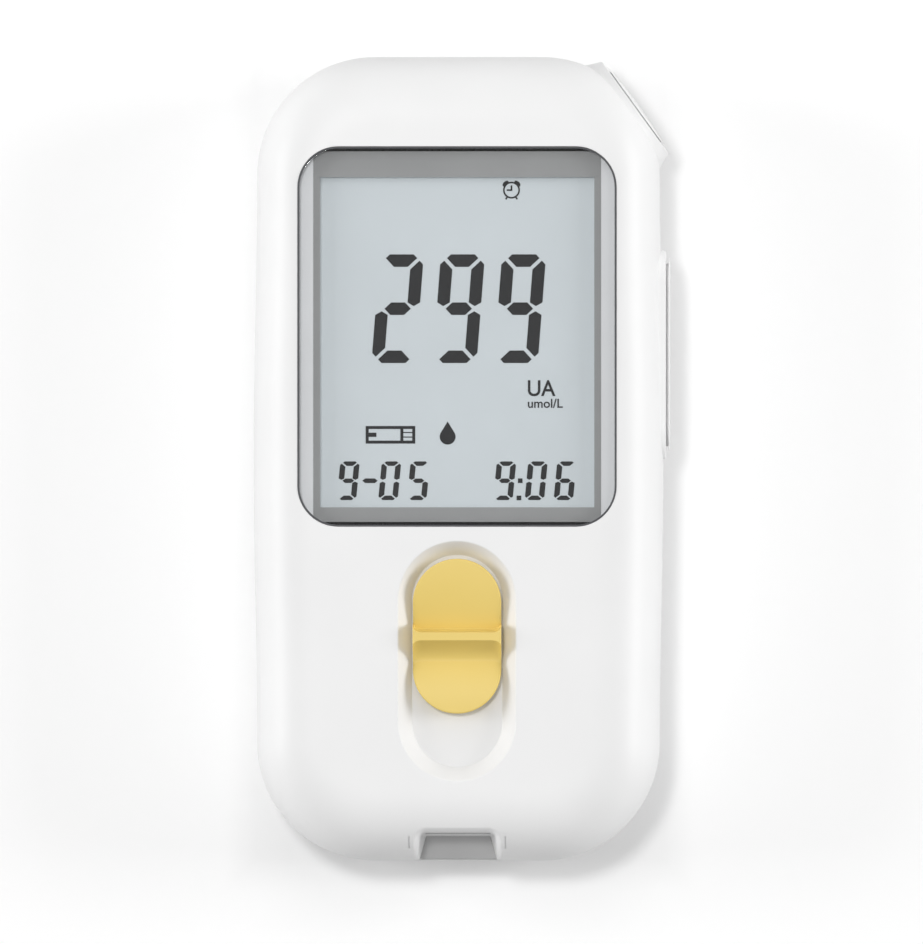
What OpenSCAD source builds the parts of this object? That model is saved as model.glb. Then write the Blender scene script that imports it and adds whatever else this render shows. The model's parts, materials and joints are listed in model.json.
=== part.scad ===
// Handheld test-strip meter with a large display, lying on its back.
// +Z comes out of the display, +Y points to the top of the display, +X to the right.
// The origin lies under the middle of the case, on the surface that the feet stand on.
// All lengths are in millimetres.

/* [Case] */
// Width of the case at its widest
case_w = 52; // [51:0.5:56]
// Length of the case
case_l = 102; // [101:0.5:108]
// Radius of the four corners, seen from the front
corner_r = 15; // [14:0.5:16]
// How far each side swells out between the corners
side_bow = 0.45; // [0.2:0.05:1]
// Height of the parting line above the rear face
part_h = 9.6; // [9.3:0.1:10.2]
// Thickness of the moulded walls
wall = 1.8; // [1.6:0.1:2]
// Width of the rolled edge round the front face
front_roll = 9; // [8:0.5:10]
// Width of the rolled edge round the rear face
rear_roll = 7; // [6:0.5:8]
// Squareness of the rolled edges, where 2 is an ellipse
roll_power = 2.6; // [2.2:0.1:3]
// Height of the lip that centres the two covers
lip_h = 1; // [0.8:0.1:1.2]
// Thickness of that lip
lip_t = 0.8; // [0.6:0.1:0.9]
// Gap between the lip and its rebate
lip_gap = 0.1; // [0.05:0.01:0.15]

/* [Display] */
// Distance from the widest part of the case's side to the window
window_side = 5.8; // [5.4:0.1:6.2]
// Land between the window and the slider recess
window_land = 1.77; // [1.5:0.01:3]
// Corner radius of the clear window
window_r = 5.15; // [4:0.05:6]
// Distance from the top end of the case to the window
window_end = 11.5; // [11:0.1:13]
// Thickness of the clear window
lens_t = 1.4; // [1.2:0.1:1.8]
// Depth of the window's face below the front face
lens_sink = 0.25; // [0.1:0.05:0.5]
// Width of the dark gasket line round the window
gasket_w = 0.25; // [0.2:0.05:0.4]
// Strip at each side of the window that the grey mask leaves bare
mask_side = 2; // [1.6:0.1:2.4]
// Grey border at each side of the display area that shows
lcd_side = 0.85; // [0.7:0.05:1.2]
// Grey border above and below that area, taken together
lcd_ends = 6.3; // [5.8:0.1:7]
// How far the display's centre lies below the window's centre
lcd_drop = 0.7; // [0.3:0.1:1]
// Thickness of one display glass
glass_t = 0.55; // [0.5:0.05:0.7]
// Thickness of the polariser, reflector and mask films
film_t = 0.15; // [0.1:0.01:0.2]
// Border of the display glass round the area that shows
glass_border = 1.15; // [0.8:0.05:1.3]
// Contact shelf of the front glass at each end
contact_shelf = 2.3; // [2:0.1:2.6]
// Thickness of the ledge that carries the window
ledge_t = 0.85; // [0.7:0.05:1.1]
// Height of the large digits as a share of the display's height
big_digit_share = 0.329; // [0.26:0.001:0.345]
// Height of the small digits as a share of the display's height
small_digit_share = 0.117; // [0.095:0.001:0.128]

/* [Battery bay] */
// Diameter of one cell
cell_d = 10.5; // [10:0.1:10.8]
// Length of one cell without its positive nub
cell_l = 43.5; // [42.5:0.1:44]
// Height of the positive nub
nub_h = 1; // [0.8:0.1:1.4]
// Clearance all round the cells
cell_gap = 0.3; // [0.2:0.05:0.5]
// Length of a battery spring with the cell in place
cell_spring_l = 4.9; // [4.4:0.1:5.6]
// Thickness of the battery door
door_t = 1.6; // [1.4:0.1:1.8]
// How far the door overlaps the walls of the bay
door_lap = 1.2; // [1:0.1:1.6]
// Gap round the battery door
door_gap = 0.15; // [0.1:0.05:0.25]
// Distance from the top end of the case to the bay
bay_end = 13.1; // [12.8:0.1:13.4]

/* [Board] */
// Thickness of the circuit board
board_t = 1; // [0.8:0.1:1.2]
// Height from the board up to the display reflector
board_to_lcd = 1.05; // [1:0.05:1.3]
// Height of the strip connector under the board
connector_h = 4; // [3.8:0.1:4.1]
// Width of the slot that takes a test strip
strip_w = 8.6; // [7:0.1:9]
// Height of the slot that takes a test strip
strip_h = 1; // [0.8:0.1:1.2]
// Diameter of the buzzer as a share of the room round it
buzzer_share = 0.85; // [0.7:0.01:0.94]

/* [Slider] */
// Width of the slider knob
knob_w = 11.2; // [10:0.1:11.6]
// Length of the slider knob
knob_l = 19.6; // [19:0.1:20.4]
// Travel of the slider
travel = 6.8; // [6.4:0.1:7.2]
// Height of the knob's cross rib above the front face
rib_proud = 0.9; // [0.5:0.1:1.6]
// Gap between the knob and the sides of the recess floor
knob_gap = 0.15; // [0.15:0.05:0.4]
// Gap between the knob and the top end of the recess floor
knob_end_gap = 0.5; // [0.3:0.01:0.6]
// Depth of the slider recess
recess_depth = 2.2; // [1.9:0.1:2.3]
// Width of the sloping border of the recess
bevel_w = 1.78; // [1.5:0.02:2.2]
// Distance from the bottom end of the case to the recess floor
recess_end = 11.95; // [11.2:0.05:12]
// Thickness of the recess floor
floor_t = 1; // [0.9:0.05:1.1]
// Running gap of the sliding pieces
slide_gap = 0.1; // [0.05:0.01:0.15]
// Length of a return spring at rest
return_l = 13; // [12:0.5:13.5]

/* [Strip notch] */
// Width of the strip notch at the front face
notch_w = 12.2; // [11.6:0.1:13]
// Length of the strip notch along the case
notch_l = 4.2; // [4:0.1:4.6]
// Width of the notch floor at its inner end
notch_floor_w = 8.9; // [8.8:0.1:9.6]
// Width of the notch floor at the mouth
notch_mouth_w = 10.4; // [10:0.1:11]

/* [Keys] */
// Direction of the corner key, in degrees from +X
corner_angle = 35.9; // [33:0.1:39]
// Diameter of the round corner key
corner_key_d = 12.4; // [11.4:0.1:12.6]
// Width of the rim round the corner key
corner_rim = 1; // [0.7:0.05:1.1]
// Height of the parting line above the axis of the corner key
corner_drop = 1; // [0:0.1:1.2]
// How far the face of the corner boss lies inside the corner's arc
corner_cut = 0.34; // [0.2:0.02:0.5]
// Travel of the corner key
corner_travel = 0.3; // [0.2:0.05:0.4]
// Length of the side key
side_key_l = 24.4; // [23:0.1:25]
// Width of the side key across the parting line
side_key_w = 6; // [5.4:0.1:6.4]
// How far the side key stands out of its boss
side_key_proud = 0.48; // [0.3:0.02:0.7]
// Rim of the side boss round the side key
side_rim = 1; // [0.8:0.1:1.2]
// How far the side boss stands out of the case
side_boss_proud = 0.35; // [0.2:0.05:0.6]
// Distance from the bottom end of the case to the middle of the side key
side_key_y0 = 64.2; // [62:0.1:66]
// Distance of each side switch from the pivot of the side key
rocker_arm = 8.5; // [7.5:0.1:9]
// Rocking angle of the side key to each side, in degrees
rocker_angle = 1.5; // [1:0.1:1.6]
// Diameter of the side key's pivot pin
pivot_d = 1.2; // [1:0.1:1.3]
// Gap of the keys in their openings
key_gap = 0.1; // [0.08:0.01:0.15]

/* [Screws and feet] */
// Shank diameter of the case screws
screw_d = 2; // [1.8:0.1:2.2]
// Head diameter of the case screws
screw_head_d = 4; // [3.6:0.1:4.2]
// Length of the case screws under the head
screw_l = 9.5; // [8.5:0.1:10.5]
// Shank diameter of the board screws
board_screw_d = 1.6; // [1.4:0.1:1.8]
// Diameter of the rubber feet
foot_d = 6; // [5:0.1:6.2]
// How far the feet stand proud of the rear face
foot_proud = 0.4; // [0.3:0.05:0.6]

/* [Hidden] */
$fn = 72;

// Overshoot of a cutter past the face that it opens
eps = 0.5;
// Gap between glued or snapped trim pieces
trim_gap = 0.02;
// Running gap that still carries a piece
seat_gap = 0.1;

// Plan of the case
case_hw = case_w / 2;
case_hl = case_l / 2;
corner_x = case_hw - side_bow - corner_r;
corner_y = case_hl - corner_r;
// Points on each corner arc, on each swelling side, and rings up each rolled edge
corner_n = 8;
side_n = 6;
roll_n = 8;

// Heights, stacked up from the feet to the front face
rear_z = foot_proud;
door_z = rear_z + door_t;
cell_z = door_z + cell_gap + cell_d / 2;
roof_z = cell_z + cell_d / 2 + cell_gap;
roof_t = 0.9;
board_z = roof_z + roof_t + 2 * seat_gap;
board_top = board_z + board_t;
reflector_z = board_top + board_to_lcd;
rear_glass_z = reflector_z + film_t;
front_glass_z = rear_glass_z + glass_t;
polariser_z = front_glass_z + glass_t;
segment_z = polariser_z + film_t;
segment_t = 0.03;
ledge_z = segment_z + segment_t + 0.07;
mask_z = ledge_z + ledge_t;
lens_z = mask_z + film_t;
face_z = lens_z + lens_t + lens_sink;
part_z = rear_z + part_h;
front_h = face_z - part_z;
ceiling_z = face_z - wall;
rear_in_z = rear_z + wall;

// Display
floor_len = knob_l + travel + knob_end_gap;
window_w = case_w - 2 * window_side;
window_h = case_l - window_end - window_land - bevel_w - floor_len - recess_end;
window_y = case_hl - window_end - window_h / 2;
mask_w = window_w - 2 * mask_side;
lcd_w = mask_w - 2 * lcd_side;
lcd_h = window_h - lcd_ends;
lcd_y = window_y - lcd_drop;
big_digit_h = big_digit_share * lcd_h;
small_digit_h = small_digit_share * lcd_h;
glass_w = lcd_w + 2 * glass_border;
rear_glass_l = lcd_h + 0.8;
front_glass_l = rear_glass_l + 2 * contact_shelf;
frame_wall = 1.2;
frame_w = glass_w + 2 * (seat_gap + frame_wall);
frame_l = front_glass_l + 2 * (seat_gap + frame_wall);
frame_r = 1.5;
frame_lip_z = front_glass_z + glass_t + trim_gap;
ledge_lap = 0.35;
ledge_rim = 1.2;
elastomer_w = 1.6;
digit_slant = 4.4;
mark_shift = 0.16;

// Battery bay
plate_t = 0.4;
bay_w = 2 * cell_d + 3 * cell_gap;
bay_l = cell_l + nub_h + cell_spring_l + 2 * plate_t;
bay_y1 = case_hl - bay_end;
bay_y0 = bay_y1 - bay_l;
bay_wall = 1.2;
cell_x = (cell_d + cell_gap) / 2;
lead_w = 1.4;
door_w = bay_w + 2 * door_lap;
door_y0 = bay_y0 - bay_wall;
door_y1 = bay_y1 + 0.7;
door_ledge = 1.5;
door_ledge_t = 1.2;
tab_x = bay_w / 2 - 1.9;
tab_w = 2.4;
tab_t = 0.65;
tab_reach = 1.6;
tab_lift = wall - door_t + door_gap;
tab_z = door_z + tab_lift;
tab_root = 1.2;
latch_w = 8;
latch_t = 0.8;
latch_l = 3.1;
latch_h = 5.6;
latch_nose = 0.75;
pad_w = 16;
pad_l = 20;

// Test strip path
connector_z = board_z - connector_h;
strip_z = board_z - connector_h / 2;
notch_back = -case_hl + notch_l;
notch_draft = 0.75;
notch_floor_back = notch_back - notch_draft;
notch_floor_z = strip_z - strip_h / 2 - 0.1;
notch_floor_drop = 1;
notch_corner = 1.2;
notch_tub = 1.3;
guide_w = strip_w + 2.6;
guide_z = part_z + 2 * seat_gap;
guide_top = strip_z + 1.3;
guide_l = 3.65;
guide_y1 = notch_floor_back + guide_l;
contact_n = 5;
contact_pitch = 1.6;
contact_w = 0.7;
contact_t = 0.2;

// Slider
floor_y0 = -case_hl + recess_end;
floor_r = knob_w / 2 + knob_gap;
recess_span = floor_len - 2 * floor_r;
recess_y = floor_y0 + floor_len / 2;
recess_z = face_z - recess_depth;
plate_z = recess_z - floor_t;
knob_y = floor_y0 + knob_l / 2 + travel;
knob_z = recess_z + 1.5 * slide_gap;
stem_w = 4.4;
stem_l = 5.2;
slot_w = stem_w + 2 * slide_gap;
slot_l = stem_l + travel + 2 * slide_gap;
slot_y = knob_y - travel / 2;
socket_d = 0.5;
stem_z = plate_z - slide_gap - socket_d;
carriage_z1 = plate_z - slide_gap;
carriage_t = 1.5;
carriage_z0 = carriage_z1 - carriage_t;
carriage_w = 15.6;
carriage_l = 11;
spring_x = 9.6;
spring_od = 2.3;
spring_wire = 0.35;
spring_z = carriage_z0 + spring_od / 2 + 0.15;
ear_l = 1.6;
ear_y = knob_y + 1;
spring_y1 = ear_y - ear_l / 2;
spring_y0 = spring_y1 - return_l;
rib_t = 1.2;
finger_t = 1.6;
finger_w = 2;
finger_reach = 8.6;
finger_y = knob_y - finger_reach;
finger_z = strip_z - 0.1;
finger_slot_w = finger_w + 0.8;
finger_slot_y1 = finger_y + finger_t / 2 + 0.4;
finger_slot_y0 = finger_y - finger_t / 2 - travel - 0.4;
connector_w = strip_w + 3.4;
connector_y0 = guide_y1 + seat_gap;
connector_y1 = finger_slot_y1 - 0.2;
rib_crest = face_z + rib_proud;
crest_w = 1;
pad_end_z = face_z - 0.2;
scoop_z = face_z - 1.3;
scoop_up = 0.5;
scoop_low = 2.6;
scoop_n = 10;
knob_screw_d = 1.6;
knob_head_d = 2.8;
knob_head_t = 0.7;

// Switches under the board edge
switch_w = 6;
switch_d = 2.3;
switch_h = 1.7;
switch_z = board_z - switch_h / 2;
plunger_out = 1.05;
plunger_in = 0.4;
plunger_w = 2.4;
plunger_h = 0.9;
cavity_d = 0.9;
touch_gap = 0.05;

// Corner key, along a line u that starts at the centre of the corner's arc
corner_face_u = corner_r - corner_cut;
corner_bore_r = corner_key_d / 2 + key_gap;
corner_boss_r = corner_bore_r + corner_rim;
corner_z = part_z - corner_drop;
corner_draft = 0.38;
corner_foot_u = corner_face_u - 2.6;
collar_wall = 0.8;
flange_r = corner_key_d / 2 + 0.5;
flange_t = 0.8;
shoulder_u = corner_face_u - 2.1;
flange_u = shoulder_u - seat_gap - flange_t;
collar_u = flange_u - 1.5;
corner_nub_l = 1.2;
corner_switch_u = flange_u - corner_nub_l - touch_gap - plunger_out;
dome_h = 0.5;
dome_n = 8;
nub_w = 3;
nub_t = 1.2;

// Side key, a rocker on a pin parallel to Z
side_y = -case_hl + side_key_y0;
side_face_x = case_hw + side_boss_proud;
side_key_x = side_face_x + side_key_proud;
side_boss_l = side_key_l + 2 * side_rim;
side_boss_w = side_key_w + 2 * side_rim;
side_draft = 0.7;
side_boss_d = 2.5;
side_clear = 0.2;
side_flange_x1 = case_hw - wall - 0.95;
side_flange_t = 0.65;
side_flange_x0 = side_flange_x1 - side_flange_t;
side_flange_lap = 0.7;
pivot_x = side_flange_x0 - 0.6;
hub_d = 3;
hub_h = side_key_w - 0.8;
lug_w = 2.4;
lug_l = 4;
lug_gap = 0.15;
pin_bite = 1.8;
side_nub_l = 0.6;
side_switch_x = side_flange_x0 - side_nub_l - touch_gap - plunger_out;

// Screws, posts and feet
post_top_x = corner_x + 0.95;
post_top_y = case_hl - 5.5;
post_low_x = case_hw - 7;
post_low_y = -case_hl + 13;
post_r = screw_d / 2 + 1.6;
rear_boss_r = screw_head_d / 2 + 1;
screw_seat_z = part_z - 5;
screw_head_t = 1.5;
counter_r = screw_head_d / 2 + 0.2;
board_post_r = board_screw_d / 2 + 0.9;
board_head_d = board_screw_d + 1.2;
board_head_t = 1.1;
board_bite = 2.4;
board_post_x = frame_w / 2 - 4.3;
board_post_low = min(lcd_y - frame_l / 2, bay_y0 - bay_wall) - board_post_r - 0.1;
board_post_top = lcd_y + frame_l / 2 + 1.95;
board_inset = 3.9;
chip_y1 = board_post_low - board_head_d / 2;
chip_room = chip_y1 - post_low_y - post_r - 0.4;
chip_h = 1.4;
crystal_r = 1;
chip_span = post_low_x - connector_w / 2;
chip_x = post_low_x - chip_span / 2;
buzzer_room = bay_y0 - bay_wall - connector_y1;
buzzer_span = 2 * chip_x - 0.49 * chip_room - 1.8;
buzzer_d = buzzer_share * min(0.86 * buzzer_room, buzzer_span);
buzzer_y = bay_y0 - bay_wall - 0.07 * buzzer_room - buzzer_d / 2;
board_y0 = guide_y1 + seat_gap;
board_y1 = board_post_top + 1.8;
foot_x = door_w / 2 + foot_d / 2 + 1.4;
foot_top_y = case_hl - 17;
foot_low_y = -case_hl + 21;
foot_sink = 0.5;

case_posts = [
  [-post_top_x, post_top_y], [post_top_x, post_top_y],
  [-post_low_x, post_low_y], [post_low_x, post_low_y]
];
board_posts = [
  [-board_post_x, board_post_low], [board_post_x, board_post_low], [0, board_post_top]
];
feet = [
  [-foot_x, foot_top_y], [foot_x, foot_top_y], [-foot_x, foot_low_y], [foot_x, foot_low_y]
];

// ---------------------------------------------------------------- plan and skins

// Points of a corner arc of radius r about (cx, cy), starting at angle a
function corner_arc(cx, cy, r, a) = [
  for (i = [0:corner_n]) [cx + r * cos(a + 90 * i / corner_n), cy + r * sin(a + 90 * i / corner_n)]
];

// Half width of the case between the corners, swelling by a squared cosine
function side_x(y, d) = case_hw - side_bow - d + side_bow * pow(cos(90 * y / corner_y), 2);

// Points up the right side (s = 1) or down the left side (s = -1) between the corners
function side_points(s, d) = [
  for (i = [1:side_n - 1]) let (y = s * corner_y * (2 * i / side_n - 1)) [s * side_x(y, d), y]
];

// Outline of the case, moved inwards by d
function case_ring(d) = concat(
  corner_arc(corner_x, -corner_y, corner_r - d, -90), side_points(1, d),
  corner_arc(corner_x, corner_y, corner_r - d, 0),
  corner_arc(-corner_x, corner_y, corner_r - d, 90), side_points(-1, d),
  corner_arc(-corner_x, -corner_y, corner_r - d, 180)
);

// Rolled edge: pairs of inset and height along a superellipse of width w and height h
function roll_levels(d0, w, z0, h) = [
  for (i = [0:roll_n]) let (t = 90 * i / roll_n)
    [d0 + w * (1 - pow(cos(t), 2 / roll_power)), z0 + h * pow(sin(t), 2 / roll_power)]
];

function reversed(list) = [for (i = [len(list) - 1:-1:0]) list[i]];
function lift(points, z) = [for (p = points) [p[0], p[1], z]];
function shell_rings(levels) = [for (v = levels) lift(case_ring(v[0]), v[1])];

// Closed solid through rings of equal length, each running anticlockwise along the way
module skin(rings) {
  n = len(rings[0]);
  m = len(rings);
  points = [for (r = rings) for (p = r) p];
  sides = [
    for (j = [0:m - 2]) for (i = [0:n - 1]) let (k = (i + 1) % n)
      each [
        [j * n + i, (j + 1) * n + i, (j + 1) * n + k],
        [j * n + i, (j + 1) * n + k, j * n + k]
      ]
  ];
  foot = [[for (i = [0:n - 1]) i]];
  head = [[for (i = [n - 1:-1:0]) (m - 1) * n + i]];
  polyhedron(points = points, faces = concat(foot, sides, head), convexity = 6);
}

// Rings of a coil about +Z from z = 0 to l, its radius going from r0 to r1
function coil_rings(r0, r1, l, wire, turns, steps, sides) = [
  for (j = [0:turns * steps]) let (
    a = 360 * j / steps,
    q = j / (turns * steps),
    r = r0 + (r1 - r0) * q,
    z = wire / 2 + (l - wire) * q
  ) [
    for (i = [0:sides - 1]) let (
      b = 360 * i / sides,
      out = r + wire / 2 * cos(b)
    ) [out * cos(a), out * sin(a), z - wire / 2 * sin(b)]
  ]
];

module outer_front() {
  skin(shell_rings(roll_levels(0, front_roll, part_z, front_h)));
}

module inner_front() {
  levels = roll_levels(wall, front_roll - wall, part_z, front_h - wall);
  skin(shell_rings(concat([[wall, part_z - eps]], levels)));
}

module outer_rear() {
  skin(shell_rings(reversed(roll_levels(0, rear_roll, part_z, -part_h))));
}

module inner_rear() {
  levels = roll_levels(wall, rear_roll - wall, part_z, wall - part_h);
  skin(shell_rings(concat(reversed(levels), [[wall, part_z + eps]])));
}

// ---------------------------------------------------------------- small helpers

// Box between two corners
module block(lo, hi) {
  translate(lo) cube(hi - lo);
}

// Cylinder along +X from x0 to x1
module rod_x(r, x0, x1) {
  translate([x0, 0, 0]) rotate([0, 90, 0]) cylinder(r = r, h = x1 - x0);
}

// Cylinder along +Z at [x, y] from z0 to z1
module post(at, r, z0, z1) {
  translate([at[0], at[1], z0]) cylinder(r = r, h = z1 - z0);
}

// Rectangle with round corners, centred
module round_rect(w, l, r) {
  square([w, l - 2 * r], center = true);
  square([w - 2 * r, l], center = true);
  for (sx = [-1, 1]) for (sy = [-1, 1]) translate([sx * (w / 2 - r), sy * (l / 2 - r)]) circle(r);
}

// Slot shape along Y: radius r, with its two centres span apart
module stadium(r, span) {
  square([2 * r, span], center = true);
  for (s = [-1, 1]) translate([0, s * span / 2]) circle(r);
}

// Slot shape whose radius goes from r0 at z = 0 to r1 at z = h
module drafted_stadium(r0, r1, span, h) {
  for (s = [-1, 1]) translate([0, s * span / 2, 0]) cylinder(r1 = r0, r2 = r1, h = h);
  translate([0, span / 2, 0]) rotate([90, 0, 0]) linear_extrude(span)
    polygon([[-r0, 0], [r0, 0], [r1, h], [-r1, h]]);
}

module above(z) {
  difference() {
    children();
    block([-case_w, -case_l, -case_w], [case_w, case_l, z]);
  }
}

module below(z) {
  difference() {
    children();
    block([-case_w, -case_l, z], [case_w, case_l, case_w]);
  }
}

// Axes of the corner key: +X along the key's travel, outwards
module corner_axes() {
  translate([corner_x, corner_y, corner_z]) rotate([0, 0, corner_angle]) children();
}

// Axes of the side key's cross-section: +Z outwards, +Y along the key
module side_axes(x) {
  translate([x, side_y, part_z]) rotate([0, 90, 0]) children();
}

// ---------------------------------------------------------------- shapes shared by the covers

module corner_boss() {
  corner_axes() translate([corner_foot_u, 0, 0]) rotate([0, 90, 0])
    cylinder(
      r1 = corner_boss_r + corner_draft * (corner_face_u - corner_foot_u),
      r2 = corner_boss_r, h = corner_face_u - corner_foot_u
    );
}

module corner_collar() {
  corner_axes() rod_x(flange_r + 0.3 + collar_wall, collar_u, shoulder_u + 1);
}

// Bore, flange room and flat face of the corner key
module corner_cutter() {
  corner_axes() {
    rod_x(corner_bore_r, shoulder_u - eps, corner_face_u + 2);
    rod_x(flange_r + 0.3, collar_u - eps, shoulder_u);
    rod_x(corner_boss_r + 1.5, corner_face_u, corner_face_u + 2);
  }
}

module side_boss() {
  side_axes(side_face_x - side_boss_d)
    drafted_stadium(
      side_boss_w / 2 + side_draft, side_boss_w / 2, side_boss_l - side_boss_w, side_boss_d
    );
}

module side_cutter() {
  side_axes(pivot_x - hub_d) linear_extrude(side_key_x - pivot_x + hub_d + eps)
    stadium(side_key_w / 2 + side_clear, side_key_l - side_key_w + side_clear);
}

// Share of the way up the notch's wall, from the parting line to the front face
function notch_share(z) = (z - part_z) / front_h;

// Value a share t of the way from a to b
function mix(a, b, t) = a + (b - a) * t;

// Outline of the notch at height z: mouth, right wall, round inner corners, left wall
function notch_ring(z) = let (
  t = notch_share(z),
  back = mix(notch_floor_w - 0.6, notch_w, t) / 2,
  mouth = mix(notch_mouth_w, notch_w, t) / 2,
  r = mix(notch_corner / 2, notch_corner, t),
  y0 = -case_hl - eps,
  y1 = mix(notch_floor_back, notch_back, t)
) concat(
  [[-mouth, y0], [mouth, y0]],
  [for (i = [0:4]) [back - r + r * cos(22.5 * i), y1 - r + r * sin(22.5 * i)]],
  [for (i = [4:8]) [-back + r + r * cos(22.5 * i), y1 - r + r * sin(22.5 * i)]]
);

module notch_cutter() {
  skin([for (i = [0:8]) let (z = mix(part_z - eps, face_z + eps, i / 8)) lift(notch_ring(z), z)]);
}

// ---------------------------------------------------------------- case

// What stands inside the front cover
module front_inside() {
  for (p = case_posts) post(p, post_r, part_z - eps, ceiling_z + 0.3);
  for (p = board_posts) post(p, board_post_r, board_top, ceiling_z + 0.3);
  translate([0, window_y, ledge_z]) linear_extrude(ceiling_z - ledge_z + 0.1)
    round_rect(window_w + 2 * ledge_rim, window_h + 2 * ledge_rim, window_r + ledge_rim);
  translate([0, recess_y, plate_z])
    drafted_stadium(floor_r + 1.1, floor_r + 2.4, recess_span, ceiling_z - plate_z + 0.1);
  block(
    [-notch_w / 2 - notch_tub, -case_hl, part_z - eps],
    [notch_w / 2 + notch_tub, notch_back + notch_tub, ceiling_z + 0.1]
  );
  for (s = [-1, 1]) block(
    [s * spring_x - 1.4, spring_y0 - rib_t, carriage_z0 + 0.1],
    [s * spring_x + 1.4, spring_y0, ceiling_z + 0.1]
  );
  block(
    [pivot_x - lug_w / 2, side_y - lug_l / 2, part_z + hub_h / 2 + lug_gap],
    [pivot_x + lug_w / 2, side_y + lug_l / 2, face_z]
  );
  corner_collar();
  corner_boss();
  side_boss();
}

module front_cover() {
  color("white") difference() {
    union() {
      outer_front();
      above(part_z) corner_boss();
      above(part_z) side_boss();
    }
    difference() {
      union() {
        inner_front();
        translate([0, 0, part_z - eps]) linear_extrude(eps + lip_h + lip_gap)
          polygon(case_ring(wall - lip_t - lip_gap));
      }
      front_inside();
    }
    corner_cutter();
    side_cutter();
    translate([0, window_y, lens_z]) linear_extrude(face_z - lens_z + eps)
      round_rect(window_w, window_h, window_r);
    translate([0, window_y, mask_z]) linear_extrude(lens_z - mask_z + eps) intersection() {
      round_rect(window_w - 0.2, window_h - 0.2, window_r - 0.1);
      square([mask_w + 2 * trim_gap, window_h], center = true);
    }
    translate([0, lcd_y, ledge_z - eps]) linear_extrude(face_z - ledge_z)
      square([lcd_w + 2 * ledge_lap, lcd_h + 2 * ledge_lap], center = true);
    translate([0, recess_y, recess_z])
      drafted_stadium(floor_r, floor_r + bevel_w, recess_span, recess_depth);
    translate([0, recess_y, face_z - 0.01]) linear_extrude(eps)
      stadium(floor_r + bevel_w, recess_span);
    translate([0, slot_y, plate_z - eps]) linear_extrude(recess_depth + floor_t)
      stadium(slot_w / 2, slot_l - slot_w);
    notch_cutter();
    block(
      [-guide_w / 2 - seat_gap, notch_floor_back - 1, part_z - eps],
      [guide_w / 2 + seat_gap, guide_y1 + 1, guide_top + seat_gap]
    );
    for (p = case_posts) post(p, screw_d / 2 + 0.05, part_z - eps, screw_seat_z + screw_l + 1);
    for (p = board_posts)
      post(p, board_screw_d / 2 + 0.05, board_top - eps, board_top + board_bite + 0.4);
    post([pivot_x, side_y], pivot_d / 2 + 0.02, part_z, part_z + hub_h / 2 + lug_gap + pin_bite);
  }
}

// What stands inside the rear cover, up to the parting line
module rear_inside() {
  for (p = case_posts) post(p, rear_boss_r, 0, part_z - seat_gap);
  block(
    [-door_w / 2 - door_gap - door_ledge, door_y0 - door_gap - door_ledge, 0],
    [door_w / 2 + door_gap + door_ledge, door_y1 + door_gap + door_ledge, rear_in_z + door_ledge_t]
  );
  block(
    [pivot_x - lug_w / 2, side_y - lug_l / 2, 0],
    [pivot_x + lug_w / 2, side_y + lug_l / 2, part_z - hub_h / 2 - lug_gap]
  );
  for (f = feet) post(f, foot_d / 2 + 1, 0, rear_in_z + 0.4);
  corner_collar();
  corner_boss();
  side_boss();
}

module bay_box(grow, z0, z1) {
  block([-bay_w / 2 - grow, bay_y0 - grow, z0], [bay_w / 2 + grow, bay_y1 + grow, z1]);
}

// Openings for the door, its two hooks and its latch
module door_cutter() {
  block(
    [-door_w / 2 - door_gap, door_y0 - door_gap, -eps],
    [door_w / 2 + door_gap, door_y1 + door_gap, rear_in_z]
  );
  for (s = [-1, 1]) block(
    [s * tab_x - tab_w / 2 - 0.3, door_y1 - tab_root - 1, rear_in_z - 0.01],
    [s * tab_x + tab_w / 2 + 0.3, door_y1 + tab_reach + 0.4, rear_in_z + 1.6]
  );
  block(
    [-latch_w / 2 - 0.3, door_y0 - latch_l - door_gap - 0.15, -eps],
    [latch_w / 2 + 0.3, door_y0 - 0.01, rear_in_z + 0.01]
  );
  block(
    [-latch_w / 2 - 0.3, door_y0 - latch_l - latch_nose - 0.4, rear_in_z],
    [latch_w / 2 + 0.3, door_y0 - 0.01, part_z]
  );
}

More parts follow.
